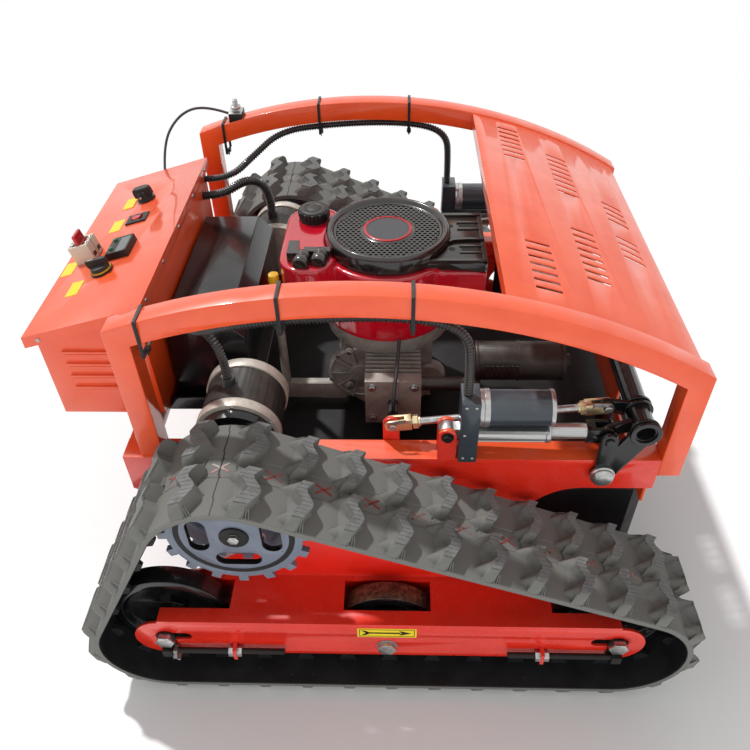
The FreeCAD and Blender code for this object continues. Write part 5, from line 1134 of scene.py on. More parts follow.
@dataclass
class RunningGear:
    """Wheels, sprocket and frame of one track, with the beam's strip, washer and foot."""

    word: str
    side: int
    sprocket: tuple = (-201.0, 368.0)
    idlers: tuple = ((-343.0, 132.0, "rear_idler"), (396.0, 132.0, "front_idler"))
    roller: tuple = (22.0, 112.5)
    beam_face_y: float = 487.0
    sprocket_face_y: float = 458.0
    groove_radii: tuple = (89.5, 81.0)
    strip: tuple = ((-26.0, 140.0), (70.0, 166.0))
    strip_mm: float = 0.3
    foot: tuple = (-331.0, 496.0, 104.0)

    def build(self) -> None:
        """Builds this side's gear."""
        x, z = self.sprocket
        softened("drive_sprocket_" + self.word, [SPROCKET_ENAMEL, BLACK_VINYL, ZINC_PLATE], 0.7, [
            (1, lambda p: p.within(x, z, 81.5, 88.5) and 454 < abs(p.middle.y) < 457.9),
            (1, lambda p: p.within(x, z, 0, 22.5) and abs(p.middle.y) > 457.9),
            # Walls and floors of the windows inside the sprocket's face are black: painted shade in the
            # recesses.
            (1, lambda p: away(p.middle, x, z) < 78 and 440 < abs(p.middle.y) < 457.5),
            (2, lambda p: p.within(x, z, 0, 12) and abs(p.middle.y) > 460.9),
        ])
        groove = Shape()
        low, high = ((self.sprocket_face_y + lift) * self.side for lift in (-0.4, 0.25))
        groove.ring((x, low, z), (x, high, z), *self.groove_radii, 96)
        piece(groove, "sprocket_groove_" + self.word, "drive_sprocket_" + self.word, [BLACK_VINYL])
        for wheel_x, wheel_z, name in self.idlers:
            softened(f"{name}_{self.word}", [BLACK_ENAMEL, WORN_STEEL], 1.4, [
                (1, lambda p, a=wheel_x, b=wheel_z: p.within(a, b, 94, 99.2)),
            ])
        a, b = self.roller
        softened("track_roller_" + self.word, [BLACK_ENAMEL, WORN_STEEL], 0.9, [
            (1, lambda p: away(p.middle, a, b) > 77),
        ])
        softened("track_frame_" + self.word, [TRACK_COAT, PAINTED_FILL_WEB_COAT], 1.0, [
            # The web's faces that don't look up take the brighter red: painted fill light in their shade.
            (1, lambda p: abs(p.middle.y) < 480 and p.normal.z < 0.3),
        ])
        self.arrow()
        self.small_steel()

    def arrow(self) -> None:
        """Adds the plain yellow strip with a border and an arrow on the beam."""
        shape = Shape()
        (left, bottom), (right, top) = self.strip
        face = self.beam_face_y * self.side
        lift = self.strip_mm * self.side
        low, high = sorted((face, face + lift))
        shape.box((left, low, bottom), (right, high, top))
        shape.slot = 1
        low, high = sorted((face + lift, face + lift * 2))
        x0, z0, x1, z1 = left + 3, bottom + 2.6, right - 3, top - 2.6
        middle = (bottom + top) / 2
        for a, b, c, d in ((x0, z0, x1, z0 + 1), (x0, z1 - 1, x1, z1), (x0, z0, x0 + 1, z1),
                           (x1 - 1, z0, x1, z1), (left + 14, middle - 1.8, right - 26, middle + 1.8)):
            shape.box((a, low, b), (c, high, d))
        head = [(-28, 7.0), (-9, 0.0), (-28, -7.0), (-24, 0.0)]
        tail = [(7, 6.5), (13, 6.5), (22, 0.0), (13, -6.5), (7, -6.5), (14, 0.0)]
        for start, outline in ((right, head), (left, tail)):
            shape.loft([[(start + x, y, middle + z) for x, z in outline] for y in (low, high)])
        piece(shape, "arrow_strip_" + self.word, "frame", [YELLOW_VINYL, BLACK_VINYL])

    def small_steel(self) -> None:
        """Adds the washer under the roller's bolt and the bent foot of the rear tension rod."""
        zinc = Shape()
        x, z = self.roller
        face = self.beam_face_y * self.side
        zinc.ring((x, face, z), (x, face + 1.6 * self.side, z), 17.5, 8.0, 40)
        x, y, z = self.foot
        foot = Matrix.Translation(Vector((x, y * self.side, z))) @ Matrix.Rotation(0.18, 4, "Y")
        zinc.box((-3.5, -6.0, -22.0), (3.5, 6.0, 7.0), foot)
        zinc.box((-3.5, -6.0, -22.0), (9.0, 6.0, -18.5), foot)
        piece(zinc, "beam_washer_and_foot_" + self.word, "frame", [ZINC_PLATE], edge_mm=0.4)


@dataclass
class Frame:
    """Hoops, side frames, panel, carrier and hood, with the weld beads between them."""

    bead_mm: float = 3.2
    leg: tuple = ((-360.0, 303.0), (-325.0, 338.0))
    rail_top: float = 407.6

    def build(self) -> None:
        """Builds the welded frame."""
        for word, side in SIDES:
            softened("hoop_" + word, [FRAME_COAT], 2.2)
            # Faces that look up keep the orange coat, the others take the redder track coat and the inward
            # ones the darker inner coat: painted light on the tops, painted shade on the sides and inside.
            softened("side_frame_" + word, [FRAME_COAT, SHADED_INNER_COAT, TRACK_COAT], 1.4, [
                (2, lambda p: p.normal.z < 0.5),
                (1, lambda p, s=side: abs(p.middle.y) < 301 and p.normal.y * s < -0.5),
            ])
            self.welds(word, side)
        softened("front_panel", [FRAME_COAT], 1.0)
        softened("rear_carrier", [FRAME_COAT], 1.4)
        softened("hood", [FRAME_COAT], 0.8)

    def welds(self, word: str, side: int) -> None:
        """Adds the weld bead round the foot of a hoop's rear leg, where it meets its rail.

        Args:
            word: the side's name.
            side: minus one on the right and one on the left.
        """
        shape = Shape()
        (low, near), (high, far), z = *self.leg, self.rail_top
        corners = [(low, far), (high, far), (high, near), (low, near)]
        steps = 12
        for (x0, y0), (x1, y1) in zip(corners, corners[1:] + corners[:1]):
            for k in range(steps):
                x = x0 + (x1 - x0) * (k + 0.5) / steps
                y = (y0 + (y1 - y0) * (k + 0.5) / steps) * side
                ripple = self.bead_mm * (1 + 0.12 * math.sin(k * 2.4))
                profile = [(0.4, -ripple * 0.6), (ripple * 0.8, -ripple * 0.4), (ripple, 0.0),
                           (ripple * 0.7, ripple * 0.5), (0.4, ripple * 0.65)]
                shape.lathe(profile, (x, y, z), (x, y, z + 1), 8)
        piece(shape, "weld_beads_" + word, "frame", [FRAME_COAT], smooth=80.0)


@dataclass(frozen=True)
class Lid:
    """The sloping face of the control box's lid."""

    rear_x: float = -530.0
    rear_z: float = 573.0
    slope_share: float = 55 / 192
    front_x: float = -338.0
    half_width: float = 250.0

    def height(self, x: float) -> float:
        """Returns how high the face stands at x."""
        return self.rear_z + (x - self.rear_x) * self.slope_share

    def frame(self, x: float, y: float) -> Matrix:
        """Makes a frame on the face.

        Args:
            x: its place along the machine.
            y: its place across the machine.

        Returns:
            The frame: x up the slope, y to the left, z off the lid.
        """
        slope = Vector((1.0, 0.0, self.slope_share)).normalized()
        normal = Vector((-self.slope_share, 0.0, 1.0)).normalized()
        turn = Matrix((slope, Vector(Axis.Y.value), normal)).transposed().to_4x4()
        return Matrix.Translation(Vector((x, y, self.height(x)))) @ turn


@dataclass
class ControlBox:
    """The box of the controls with its sloping lid, and all that stands on the lid."""

    lid: Lid = Lid()
    tags: tuple = ((-465.0, 131.0), (-466.0, 48.0), (-516.0, -69.0), (-480.0, -141.0))
    rotary: tuple = (-432.0, 131.0)
    breaker: tuple = (-486.0, -44.0)
    meter: tuple = (-424.0, -50.0)
    selector: tuple = (-443.0, -106.0)
    rocker: tuple = (-428.0, 55.0)
    screw_radius: float = 3.6

    @property
    def up(self) -> Vector:
        """Returns the direction off the lid."""
        return self.lid.frame(*self.meter).to_3x3() @ Vector(Axis.Z.value)

    def build(self) -> None:
        """Builds the box and its controls."""
        softened("control_box", [FRAME_COAT], 0.9)
        softened("control_box_lid", [FRAME_COAT], 1.2)
        softened("rotary_knob", [BLACK_NYLON], 0.7)
        softened("rocker_switch_bezel", [BLACK_NYLON], 0.5)
        softened("rocker_switch_paddle", [RED_ABS], 0.5)
        softened("breaker", [BEIGE_ABS], 0.7)
        softened("breaker_lever", [RED_ABS], 0.5)
        softened("meter", [BLACK_NYLON], 0.7)
        softened("selector_lever", [BLACK_NYLON], 0.7)
        for word in ("right", "left"):
            softened("meter_button_" + word, [GREEN_ABS], 0.4)
        self.screws()
        self.plates()
        self.meter_trim()
        self.breaker_trim()
        self.rotary_trim()
        self.rocker_trim()
        self.rotary_fixing()
        self.selector_trim()

    def screws(self) -> None:
        """Adds the lid's screws on its front and rear lips and the box's on its sides."""
        shape = Shape()
        back = [-value for value in Axis.X.value]
        front_spots = [((self.lid.front_x, y, 618.0), Axis.X.value) for y in (-215, -110, 0, 110, 215)]
        rear_spots = [((self.lid.rear_x, y, self.lid.rear_z - 10), back) for y in (-215, -72, 72, 215)]
        shape.stars(front_spots + rear_spots, self.screw_radius)
        for side in (-1, 1):
            edge = self.lid.half_width * side
            spots = [((x, edge, self.lid.height(x) - 11), (0.0, side, 0.0)) for x in (-505, -362)]
            shape.stars(spots, self.screw_radius)
        piece(shape, "lid_screws", "frame", [ZINC_PLATE])

    def plates(self) -> None:
        """Adds the four plain yellow tags."""
        shape = Shape()
        for x, y in self.tags:
            shape.box((-11, -20, -0.05), (11, 20, 0.5), self.lid.frame(x, y))
        piece(shape, "yellow_tags", "frame", [YELLOW_VINYL], edge_mm=0.15)

    def meter_trim(self) -> None:
        """Adds the meter's window and its four screws."""
        at = self.lid.frame(*self.meter)
        window = Shape()
        window.box((-2.6, -22.6, 10.2), (15.6, 22.6, 11.6), at)
        piece(window, "meter_window", "frame", [SMOKED_WINDOW], edge_mm=0.3)
        screws = Shape()
        for x in (-16.4, 16.4):
            screws.stars([(at @ Vector((x, y, 12.0)), self.up) for y in (-23.4, 23.4)], 1.5)
        piece(screws, "meter_screws", "frame", [BLACK_OXIDE])

    def breaker_trim(self) -> None:
        """Adds the gap between the breaker's poles, its terminals and the ribs of its lever."""
        at = self.lid.frame(*self.breaker)
        dark, steel, ribs = Shape(), Shape(), Shape()
        # Black slabs and discs stand for the gaps between the poles and the terminals' openings: painted
        # shade.
        for end in (-1, 1):
            dark.box((end * 14.8 - 3.3, -0.5, 0.5), (end * 14.8 + 3.3, 0.5, 32.1), at)
            for y in (-9.5, 9.5):
                dark.box((end * 18.15 - 0.4, y - 5.0, 6.0), (end * 18.15 + 0.4, y + 5.0, 13.0), at)
                spot = at @ Vector((end * 13.2, y, 31.6))
                dark.lathe([(3.6, 0), (3.6, 0.7)], spot, spot + self.up, 20)
                steel.stars([(at @ Vector((end * 13.2, y, 32.2)), self.up)], 2.7)
        piece(dark, "breaker_gaps", "frame", [BLACK_NYLON])
        piece(steel, "breaker_terminals", "frame", [ZINC_PLATE])
        for k in range(9):
            y = 3.0 * k - 12.0
            ribs.box((-3.4, y - 0.7, 33.0), (3.4, y + 0.7, 46.5), at)
        piece(ribs, "breaker_grip", "breaker_lever", [RED_ABS], edge_mm=0.3)

    def rotary_trim(self) -> None:
        """Adds the rotary knob's long grip."""
        at = self.lid.frame(*self.rotary)
        grip = Shape()
        near = [(-17.5, -6.0), (-4.0, -9.5), (11.0, -8.5), (17.5, -4.0)]
        base = near + [(x, -y) for x, y in reversed(near)]
        levels = ((1.0, 8.0), (1.0, 18.0), (0.93, 23.5), (0.8, 25.0))
        grip.loft([[at @ Vector((x * share, y * share, z)) for x, y in base] for share, z in levels])
        piece(grip, "rotary_grip", "rotary_knob", [BLACK_NYLON], edge_mm=0.6)

    def rocker_trim(self) -> None:
        """Adds the rocker switch's raised rim."""
        at = self.lid.frame(*self.rocker)
        rim = Shape()
        outline = [(-20.5, -15.5), (20.5, -15.5), (20.5, 15.5), (-20.5, 15.5)]
        inner = [(-14.0, -10.0), (14.0, -10.0), (14.0, 10.0), (-14.0, 10.0)]
        levels = ((inner, 1.0, 1.2), (outline, 1.0, 0.2), (outline, 1.0, 1.6), (outline, 0.93, 3.2),
                  (inner, 1.03, 3.2))
        rings = [[at @ Vector((x * share, y * share, z)) for x, y in ring] for ring, share, z in levels]
        rim.loft(rings, closed=True)
        piece(rim, "rocker_switch_rim", "frame", [BLACK_NYLON], edge_mm=0.4)

    def rotary_fixing(self) -> None:
        """Adds the screw in the rotary knob's side."""
        at = self.lid.frame(*self.rotary)
        screw = Shape()
        way = at.to_3x3() @ Vector((0.0, -1.0, 0.0))
        screw.stars([(at @ Vector((-4.0, -12.6, 9.0)), way)], 2.4)
        piece(screw, "rotary_screw", "rotary_knob", [ZINC_PLATE])

    def selector_trim(self) -> None:
        """Adds the selector's yellow collar and its pointer."""
        at = self.lid.frame(*self.selector)
        collar = Shape()
        start = at @ Vector((0, 0, 3.3))
        collar.ring(start, start + self.up * 2.2, 17.4, 16.1)
        piece(collar, "selector_collar", "selector_lever", [YELLOW_ABS], smooth=40.0)
        mark = Shape()
        mark.box((-15.0, -1.0, 23.7), (-4.0, 1.0, 24.3), at)
        piece(mark, "selector_mark", "selector_lever", [BEIGE_ABS])


@dataclass
class PowerPack:
    """Battery with its tray and cover, the motor controller and the two drive motors."""

    axle: tuple = (-210.0, 430.0)
    rings: tuple = ((204.9, 223.4), (296.6, 315.2))

    def build(self) -> None:
        """Builds the electric parts."""
        softened("battery_cover", [BLACK_ENAMEL], 1.6)
        softened("battery_tray", [BLACK_ENAMEL], 1.0)
        softened("battery", [GREY_POLYPROPYLENE], 2.0)
        softened("motor_controller", [CAST_ALLOY], 1.2)
        for word, side in SIDES:
            softened("drive_motor_" + word, [MOTOR_ENAMEL, TURNED_ALLOY, CONDUIT_NYLON, BLACK_ENAMEL], 0.9, [
                (1, self.on_ring),
                (3, lambda p: abs(p.middle.y) > 315.4),
                (2, self.on_gland),
            ])
            self.motor_bolts(word, side)

    def on_ring(self, patch: Patch) -> bool:
        """Says whether a face is on one of the motor's end rings."""
        return any(low < abs(patch.middle.y) < high for low, high in self.rings)

    def on_gland(self, patch: Patch) -> bool:
        """Says whether a face is on the gland of the motor's cable."""
        across = 236 < abs(patch.middle.y) < 284
        return across and patch.middle.z > 494.4 and away(patch.middle, -225, self.axle[1]) < 90

    def motor_bolts(self, word: str, side: int) -> None:
        """Adds the socket screws of a motor's end ring and the through bolts of its front ring.

        Args:
            word: the side's name.
            side: minus one on the right and one on the left.
        """
        shape = Shape()
        for x, z in circle(*self.axle, 55, 4, 45):
            shape.bolt((x, 205.0 * side, z), (0.0, -side, 0.0), 5.5, 7.0)
        for x, z in circle(*self.axle, 62.5, 6, 30):
            shape.bolt((x, 315.0 * side, z), (0.0, side, 0.0), 3.2)
        piece(shape, "motor_bolts_" + word, "frame", [ZINC_PLATE])


@dataclass
class Engine:
    """The petrol engine: casting, pressed shroud, starter housing with its screen, caps and silencer."""

    x: float = 20.0
    shroud_top: float = 588.0
    ring_outer: float = 107.0
    ring_inner: float = 93.0
    badge_radius: float = 44.0
    hole_pitch: float = 9.0
    row_pitch: float = 6.6
    hole_radius: float = 2.45
    cap_middle: tuple = (-112.0, 64.0)
    cap_top: float = 615.6
    silencer: tuple = (-150.0, 447.0)
    side_cover: tuple = (-30.0, 360.0)
    side_face_y: float = -70.0
    bosses: tuple = ((-52.0, 330.0), (-50.0, 412.0), (66.0, 408.0), (70.0, 322.0))
    head_bolts: tuple = ((-6.0, 345.0), (66.0, 345.0), (-6.0, 415.0), (66.0, 415.0))
    foot_bolts: tuple = ((-50.0, -55.0), (90.0, -55.0), (-50.0, 55.0), (90.0, 55.0))
    lead: tuple = ((30, -217, 386), (30, -226, 398), (32, -206, 430), (38, -160, 452), (40, -125, 470))

    def build(self) -> None:
        """Builds the engine."""
        softened("engine_block", [CAST_ALLOY], 1.4)
        self.shroud()
        self.housing()
        self.screen()
        self.badge()
        self.bulbs()
        self.casting()
        self.spark_plug()
        self.fuel_cap()
        softened("dipstick", [YELLOW_ABS], 1.6)
        self.muffler()
        softened("crankshaft", [CAST_ALLOY], 1.0)
        softened("cutting_blade", [WORN_STEEL], 0.8)

    def fuel_cap(self) -> None:
        """Dresses the fuel cap and adds its crown and the ribs for the hand."""
        softened("fuel_cap", [BLACK_NYLON], 1.4)
        cap = Shape()
        profile = [(25.4, 0), (25.4, 1.0), (24.0, 2.6), (14.5, 3.2), (13.5, 2.4), (12.5, 3.4), (4.0, 3.8)]
        cap.lathe(profile, (*self.cap_middle, self.cap_top), (*self.cap_middle, self.cap_top + 1), 40)
        for x, y in circle(*self.cap_middle, 25, 12):
            cap.rod((x, y, self.cap_top - 13.1), (x, y, self.cap_top + 0.2), 3.4, 12)
        piece(cap, "fuel_cap_crown", "fuel_cap", [BLACK_NYLON], smooth=50.0)

    def muffler(self) -> None:
        """Dresses the muffler and adds its seams and the slots of its outlet."""
        softened("muffler", [SILENCER_STEEL], 2.0)
        seams = Shape()
        for x in (170.5, 240.0, 311.0):
            seams.ring((x - 1.6, *self.silencer), (x + 1.6, *self.silencer), 34.2, 32.6, 48)
        for k in range(7):
            x = 186 + k * 8.0
            seams.box((x - 2.4, -184.6, 441), (x + 2.4, -182.4, 463))
        piece(seams, "silencer_seams", "deck", [SILENCER_STEEL], edge_mm=0.5)

    def shroud(self) -> None:
        """Makes the pressed shroud and tank: the CAD form with the soft corners of deep-drawn sheet."""
        source = frame["nodes"]["engine_shroud"]
        made = linked("pressing", source.data.copy())
        remesh = made.modifiers.new("voxels", "REMESH")
        remesh.mode = "VOXEL"
        remesh.voxel_size = 2.2 * MM
        relax = made.modifiers.new("relax", "SMOOTH")
        relax.factor = 0.5
        relax.iterations = 22
        finished(settled(made), "shroud_and_tank", "deck", [CRIMSON_ENAMEL],
                 ["engine_shroud"], 0.0, 180.0)

    def neck_outline(self, share: float, inset: float) -> list[tuple[float, float]]:
        """Works out the neck's plan, whose sides leave the ring and widen to the front.

        Args:
            share: how much of its width it has where it leaves the ring.
            inset: how far it stands in.

        Returns:
            The corners.
        """
        front = 184.0 - inset
        back = 78.0 + inset * 0.5
        left, right = 72.0 - inset, -88.0 + inset
        near = 86.0 * share - inset
        return [(back, -near), (120.0, -near * 0.93), (150.0, right + 5), (front - 4, right),
                (front, right + 5),
                (front, left - 5), (front - 4, left), (150.0, left), (120.0, near * 0.86), (back, near)]

    def housing(self) -> None:
        """Builds the starter housing's ring and neck."""
        shape = Shape()
        z = self.shroud_top
        outer, inner = self.ring_outer, self.ring_inner
        profile = [(inner - 5, z + 20), (inner - 4.5, z + 23), (inner - 1.5, z + 24), (inner, z + 26.5),
                   (inner + 2.0, z + 29.3), (inner + 5.0, z + 30.8), (inner + 8.5, z + 30.4),
                   (inner + 11.5, z + 27.6),
                   (outer - 0.5, z + 22.0), (outer + 0.6, z + 12.0), (outer + 0.2, z + 0.3),
                   (inner + 2, z + 0.3), (inner, z + 18)]
        shape.lathe([(r, h - z) for r, h in profile], (self.x, 0, z), (self.x, 0, z + 1), 96, closed=True)
        levels = [(1.0, 0.0, z - 5.7), (1.0, 0.0, z + 7.0), (0.985, 1.0, z + 9.6), (0.96, 3.0, z + 10.6)]
        shape.loft([[(x, y, level) for x, y in self.neck_outline(share, inset)] for share, inset,
                    level in levels])
        shape.box((84, 64, z + 8), (183, 72, z + 15))
        shape.box((84, -84, z + 8), (183, -77, z + 15))
        shape.box((177, -84, z + 6), (183.6, 70, z + 13))
        rail = [(52, -94), (84, -76), (104, -52), (116, -30), (130, -20), (152, -17), (183, -17)]
        rings = []
        for i, (x, y) in enumerate(rail):
            before, after = Vector(rail[max(0, i - 1)]), Vector(rail[min(len(rail) - 1, i + 1)])
            way = (after - before).normalized() * 3.0
            level = z + 16.5 if i > 1 else z + 19.0
            rings.append([(x - way.y, y + way.x, z + 7), (x - way.y, y + way.x, level),
                          (x + way.y, y - way.x, level), (x + way.y, y - way.x, z + 7)])
        shape.loft(rings)
        for y in (22.0, 44.0, -34.0, -54.0):
            shape.box((140, y - 2.5, z + 9), (178, y + 2.5, z + 13))
        piece(shape, "starter_cover", "deck", [BLACK_ABS], ["starter_housing"], edge_mm=1.3)
        # Flat dark discs and strips on the cover stand for its holes and slots: painted shade.
        hole_shade = Shape()
        for x, y in ((128.0, 33.0), (128.0, -42.0)):
            hole_shade.lathe([(5.4, 0), (5.4, 0.5)], (x, y, z + 10.4), (x, y, z + 11), 28)
        for y0, y1 in ((26.0, 40.0), (-48.0, -32.0)):
            hole_shade.box((143, y0, z + 10.2), (172, y1, z + 10.9))
        piece(hole_shade, "starter_cover_holes", "deck", [BLACK_OXIDE])

    def screen(self) -> None:
        """Builds the perforated screen: round-holed cells in staggered rows between badge and ring."""
        cell = Shape()
        sides = 12
        low, high = -2.4, 0.0
        rings = []
        for radius, height in ((self.hole_radius, low), (self.hole_radius, high)):
            angles = [2 * math.pi * (k + 0.5) / sides for k in range(sides)]
            rings.append([(radius * 1.32 * math.cos(a), radius * math.sin(a), height) for a in angles])
        half_x, half_y = self.hole_pitch / 2 + 0.02, self.row_pitch / 2 + 0.02
        for height, ring in ((high, rings[1]), (low, rings[0])):
            square = []
            for x, y, _ in ring:
                reach = 1 / max(abs(x) / half_x, abs(y) / half_y)
                square.append((x * reach, y * reach, height))
            rings.append(square)
        cell.loft([rings[0], rings[1], rings[2], rings[3]], closed=True)
        part = shape_object(cell, "screen_cell")
        tree, inlet = tree_with("perforated_screen", (
            ("Cell", "NodeSocketObject"), ("Pitch", "NodeSocketFloat"), ("Row", "NodeSocketFloat"),
            ("Outer", "NodeSocketFloat"), ("Inner", "NodeSocketFloat"), ("Middle", "NodeSocketVector"),
            ("Finish", "NodeSocketMaterial")))
        outlet = inlet.outputs
        geometry = []
        columns, rows = 29, 17
        for shift in (0.0, 0.5):
            width = reckon(tree, "MULTIPLY", outlet["Pitch"], columns - 1.0)
            depth = reckon(tree, "MULTIPLY", outlet["Row"], rows - 1.0)
            grid = add_node(tree, "GeometryNodeMeshGrid", {"Vertices X": columns, "Vertices Y": rows},
                            {"Size X": width, "Size Y": depth}).outputs[0]
            x, y = (reckon(tree, "MULTIPLY", outlet[name], shift) for name in ("Pitch", "Row"))
            step = add_node(tree, "ShaderNodeCombineXYZ", links={0: x, 1: y}).outputs[0]
            geometry.append(add_node(tree, "GeometryNodeSetPosition",
                                     links={"Geometry": grid, "Offset": step}))
        joined = add_node(tree, "GeometryNodeJoinGeometry", links={0: geometry[0].outputs[0]})
        tree.links.new(geometry[1].outputs[0], joined.inputs[0])
        place = add_node(tree, "GeometryNodeInputPosition").outputs[0]
        reach = add_node(tree, "ShaderNodeVectorMath", {"operation": "LENGTH"}, {0: place}).outputs["Value"]
        beyond = reckon(tree, "GREATER_THAN", reach, outlet["Outer"])
        within = reckon(tree, "LESS_THAN", reach, outlet["Inner"])
        unused = reckon(tree, "ADD", beyond, within)
        kept = add_node(tree, "GeometryNodeDeleteGeometry", {"domain": "POINT"},
                        {"Geometry": joined.outputs[0], "Selection": unused}).outputs[0]
        model = add_node(tree, "GeometryNodeObjectInfo", links={0: outlet["Cell"]}).outputs["Geometry"]
        cells = add_node(tree, "GeometryNodeInstanceOnPoints",
                         links={"Points": kept, "Instance": model}).outputs[0]
        moved = add_node(tree, "GeometryNodeTransform",
                         links={"Geometry": cells, "Translation": outlet["Middle"]})
        end_tree(tree, moved.outputs[0], outlet["Finish"])
        carrier = linked("carrier", bpy.data.meshes.new("carrier"))
        middle = Vector((self.x, 0, self.shroud_top + 23.2)) * MM
        values = {"Cell": part, "Pitch": self.hole_pitch * MM, "Row": self.row_pitch * 2 * MM,
                  "Outer": (self.ring_inner - 2.5) * MM, "Inner": (self.badge_radius - 3) * MM,
                  "Middle": middle, "Finish": BLACK_ABS.material()}
        mesh = grown(carrier, tree, values)
        bpy.data.objects.remove(part)
        finished(mesh, "starter_screen", "deck", [BLACK_ABS], [], 0.0, 40.0)

    def badge(self) -> None:
        """Builds the plain badge in its red rim, and the dust plate under the screen."""
        shape = Shape()
        z = self.shroud_top + 20
        shape.lathe([(47, 0), (47, 3.5), (45.5, 4.5), (2, 4.5)], (self.x, 0, z), (self.x, 0, z + 1), 72)
        shape.slot = 1
        shape.ring((self.x, 0, z + 3.9), (self.x, 0, z + 6.0), 41.5, 37.0, 72)
        shape.slot = 2
        shape.lathe([(37.4, 0), (37.4, 1.0), (2, 1.0)], (self.x, 0, z + 4.2), (self.x, 0, z + 5), 72)
        piece(shape, "starter_badge", "deck", [BLACK_ABS, RED_ABS, GREY_POLYPROPYLENE],
              smooth=50.0)

    def bulbs(self) -> None:
        """Builds the bracket and the two rubber bulbs."""
        shape = Shape()
        z = self.shroud_top + 10
        shape.box((-118, -66, z - 2), (-74, -52, z + 12))
        shape.box((-144, -80, z - 6), (-126, -40, z + 17))
        for x, y in ((-88.0, -78.0), (-117.0, -84.0)):
            barrel = [(9.0, 0), (12.0, 2), (13.0, 6), (13.0, 11), (11.6, 12), (11.6, 15), (13.6, 17),
                      (13.8, 26), (11.5, 30), (4.0, 31)]
            shape.lathe(barrel, (x, y + 14, z + 8), (x - 3.0, y - 6.0, z + 6.0), 36)
        piece(shape, "bracket_and_bulbs", "deck", [BLACK_ABS], edge_mm=0.8, smooth=48.0)

    def casting(self) -> None:
        """Adds the casting's side covers, bosses, ribs and bolts."""
        shape = Shape()
        x, z = self.side_cover
        face = self.side_face_y
        cover = [(60, 0), (60, 12), (55, 15), (51, 8), (23, 9), (20, 17), (6, 18)]
        shape.lathe(cover, (x, face, z), (x, face - 1, z), 48)
        shape.lathe([(30, 0), (30, 14), (25, 19), (6, 21)], (96, face + 10, 344), (96, face + 9, 344), 32)
        shape.box((-58, face - 12, 300), (64, face, 318))
        for boss_x, boss_z in self.bosses:
            shape.lathe([(10, 0), (9, 20), (6.5, 22)], (boss_x, face + 4, boss_z), (boss_x, face + 3, boss_z),
                        20)
        for k in range(5):
            shape.box((-66 + k * 30, -96, 424), (-61 + k * 30, 80, 438))
        for k in range(10):
            turn = Matrix.Translation(Vector((x, face, z))) @ Matrix.Rotation(math.radians(36 * k), 4, "Y")
            shape.box((19, -15.5, -1.8), (54, -7.5, 1.8), turn)
        piece(shape, "casting_bosses", "deck", [CAST_ALLOY], edge_mm=1.0)
        bolts = Shape()
        for spot_x, spot_z in circle(x, z, 57.5, 6, 15):
            bolts.bolt((spot_x, face - 13.4, spot_z), (0, -1, 0), 4.4)
        for boss_x, boss_z in self.bosses:
            bolts.bolt((boss_x, face - 17.5, boss_z), (0, -1, 0), 5.0)
        for bolt_x, bolt_z in self.head_bolts:
            bolts.bolt((bolt_x, -185, bolt_z), (0, -1, 0), 6.0, 8.0)
        for bolt_x, bolt_y in self.foot_bolts:
            bolts.bolt((bolt_x, bolt_y, 292), Axis.Z.value, 6.5, 9.0)
        piece(bolts, "casting_bolts", "deck", [ZINC_PLATE])

    def spark_plug(self) -> None:
        """Adds the spark plug's cap and lead."""
        plug = Shape()
        profile = [(9, 0), (9, 5), (7, 6), (7, 12), (9.5, 14), (9.5, 34), (7, 39), (3, 40)]
        plug.lathe(profile, (30, -184, 380), (30, -190, 381.5), 24)
        piece(plug, "spark_plug_cap", "deck", [BLACK_NYLON], smooth=45.0)
        mesh = cord("lead", self.lead, 3.2, 4)
        finished(mesh, "spark_plug_lead", "deck", [BLACK_NYLON], [], 0.0, 60.0)


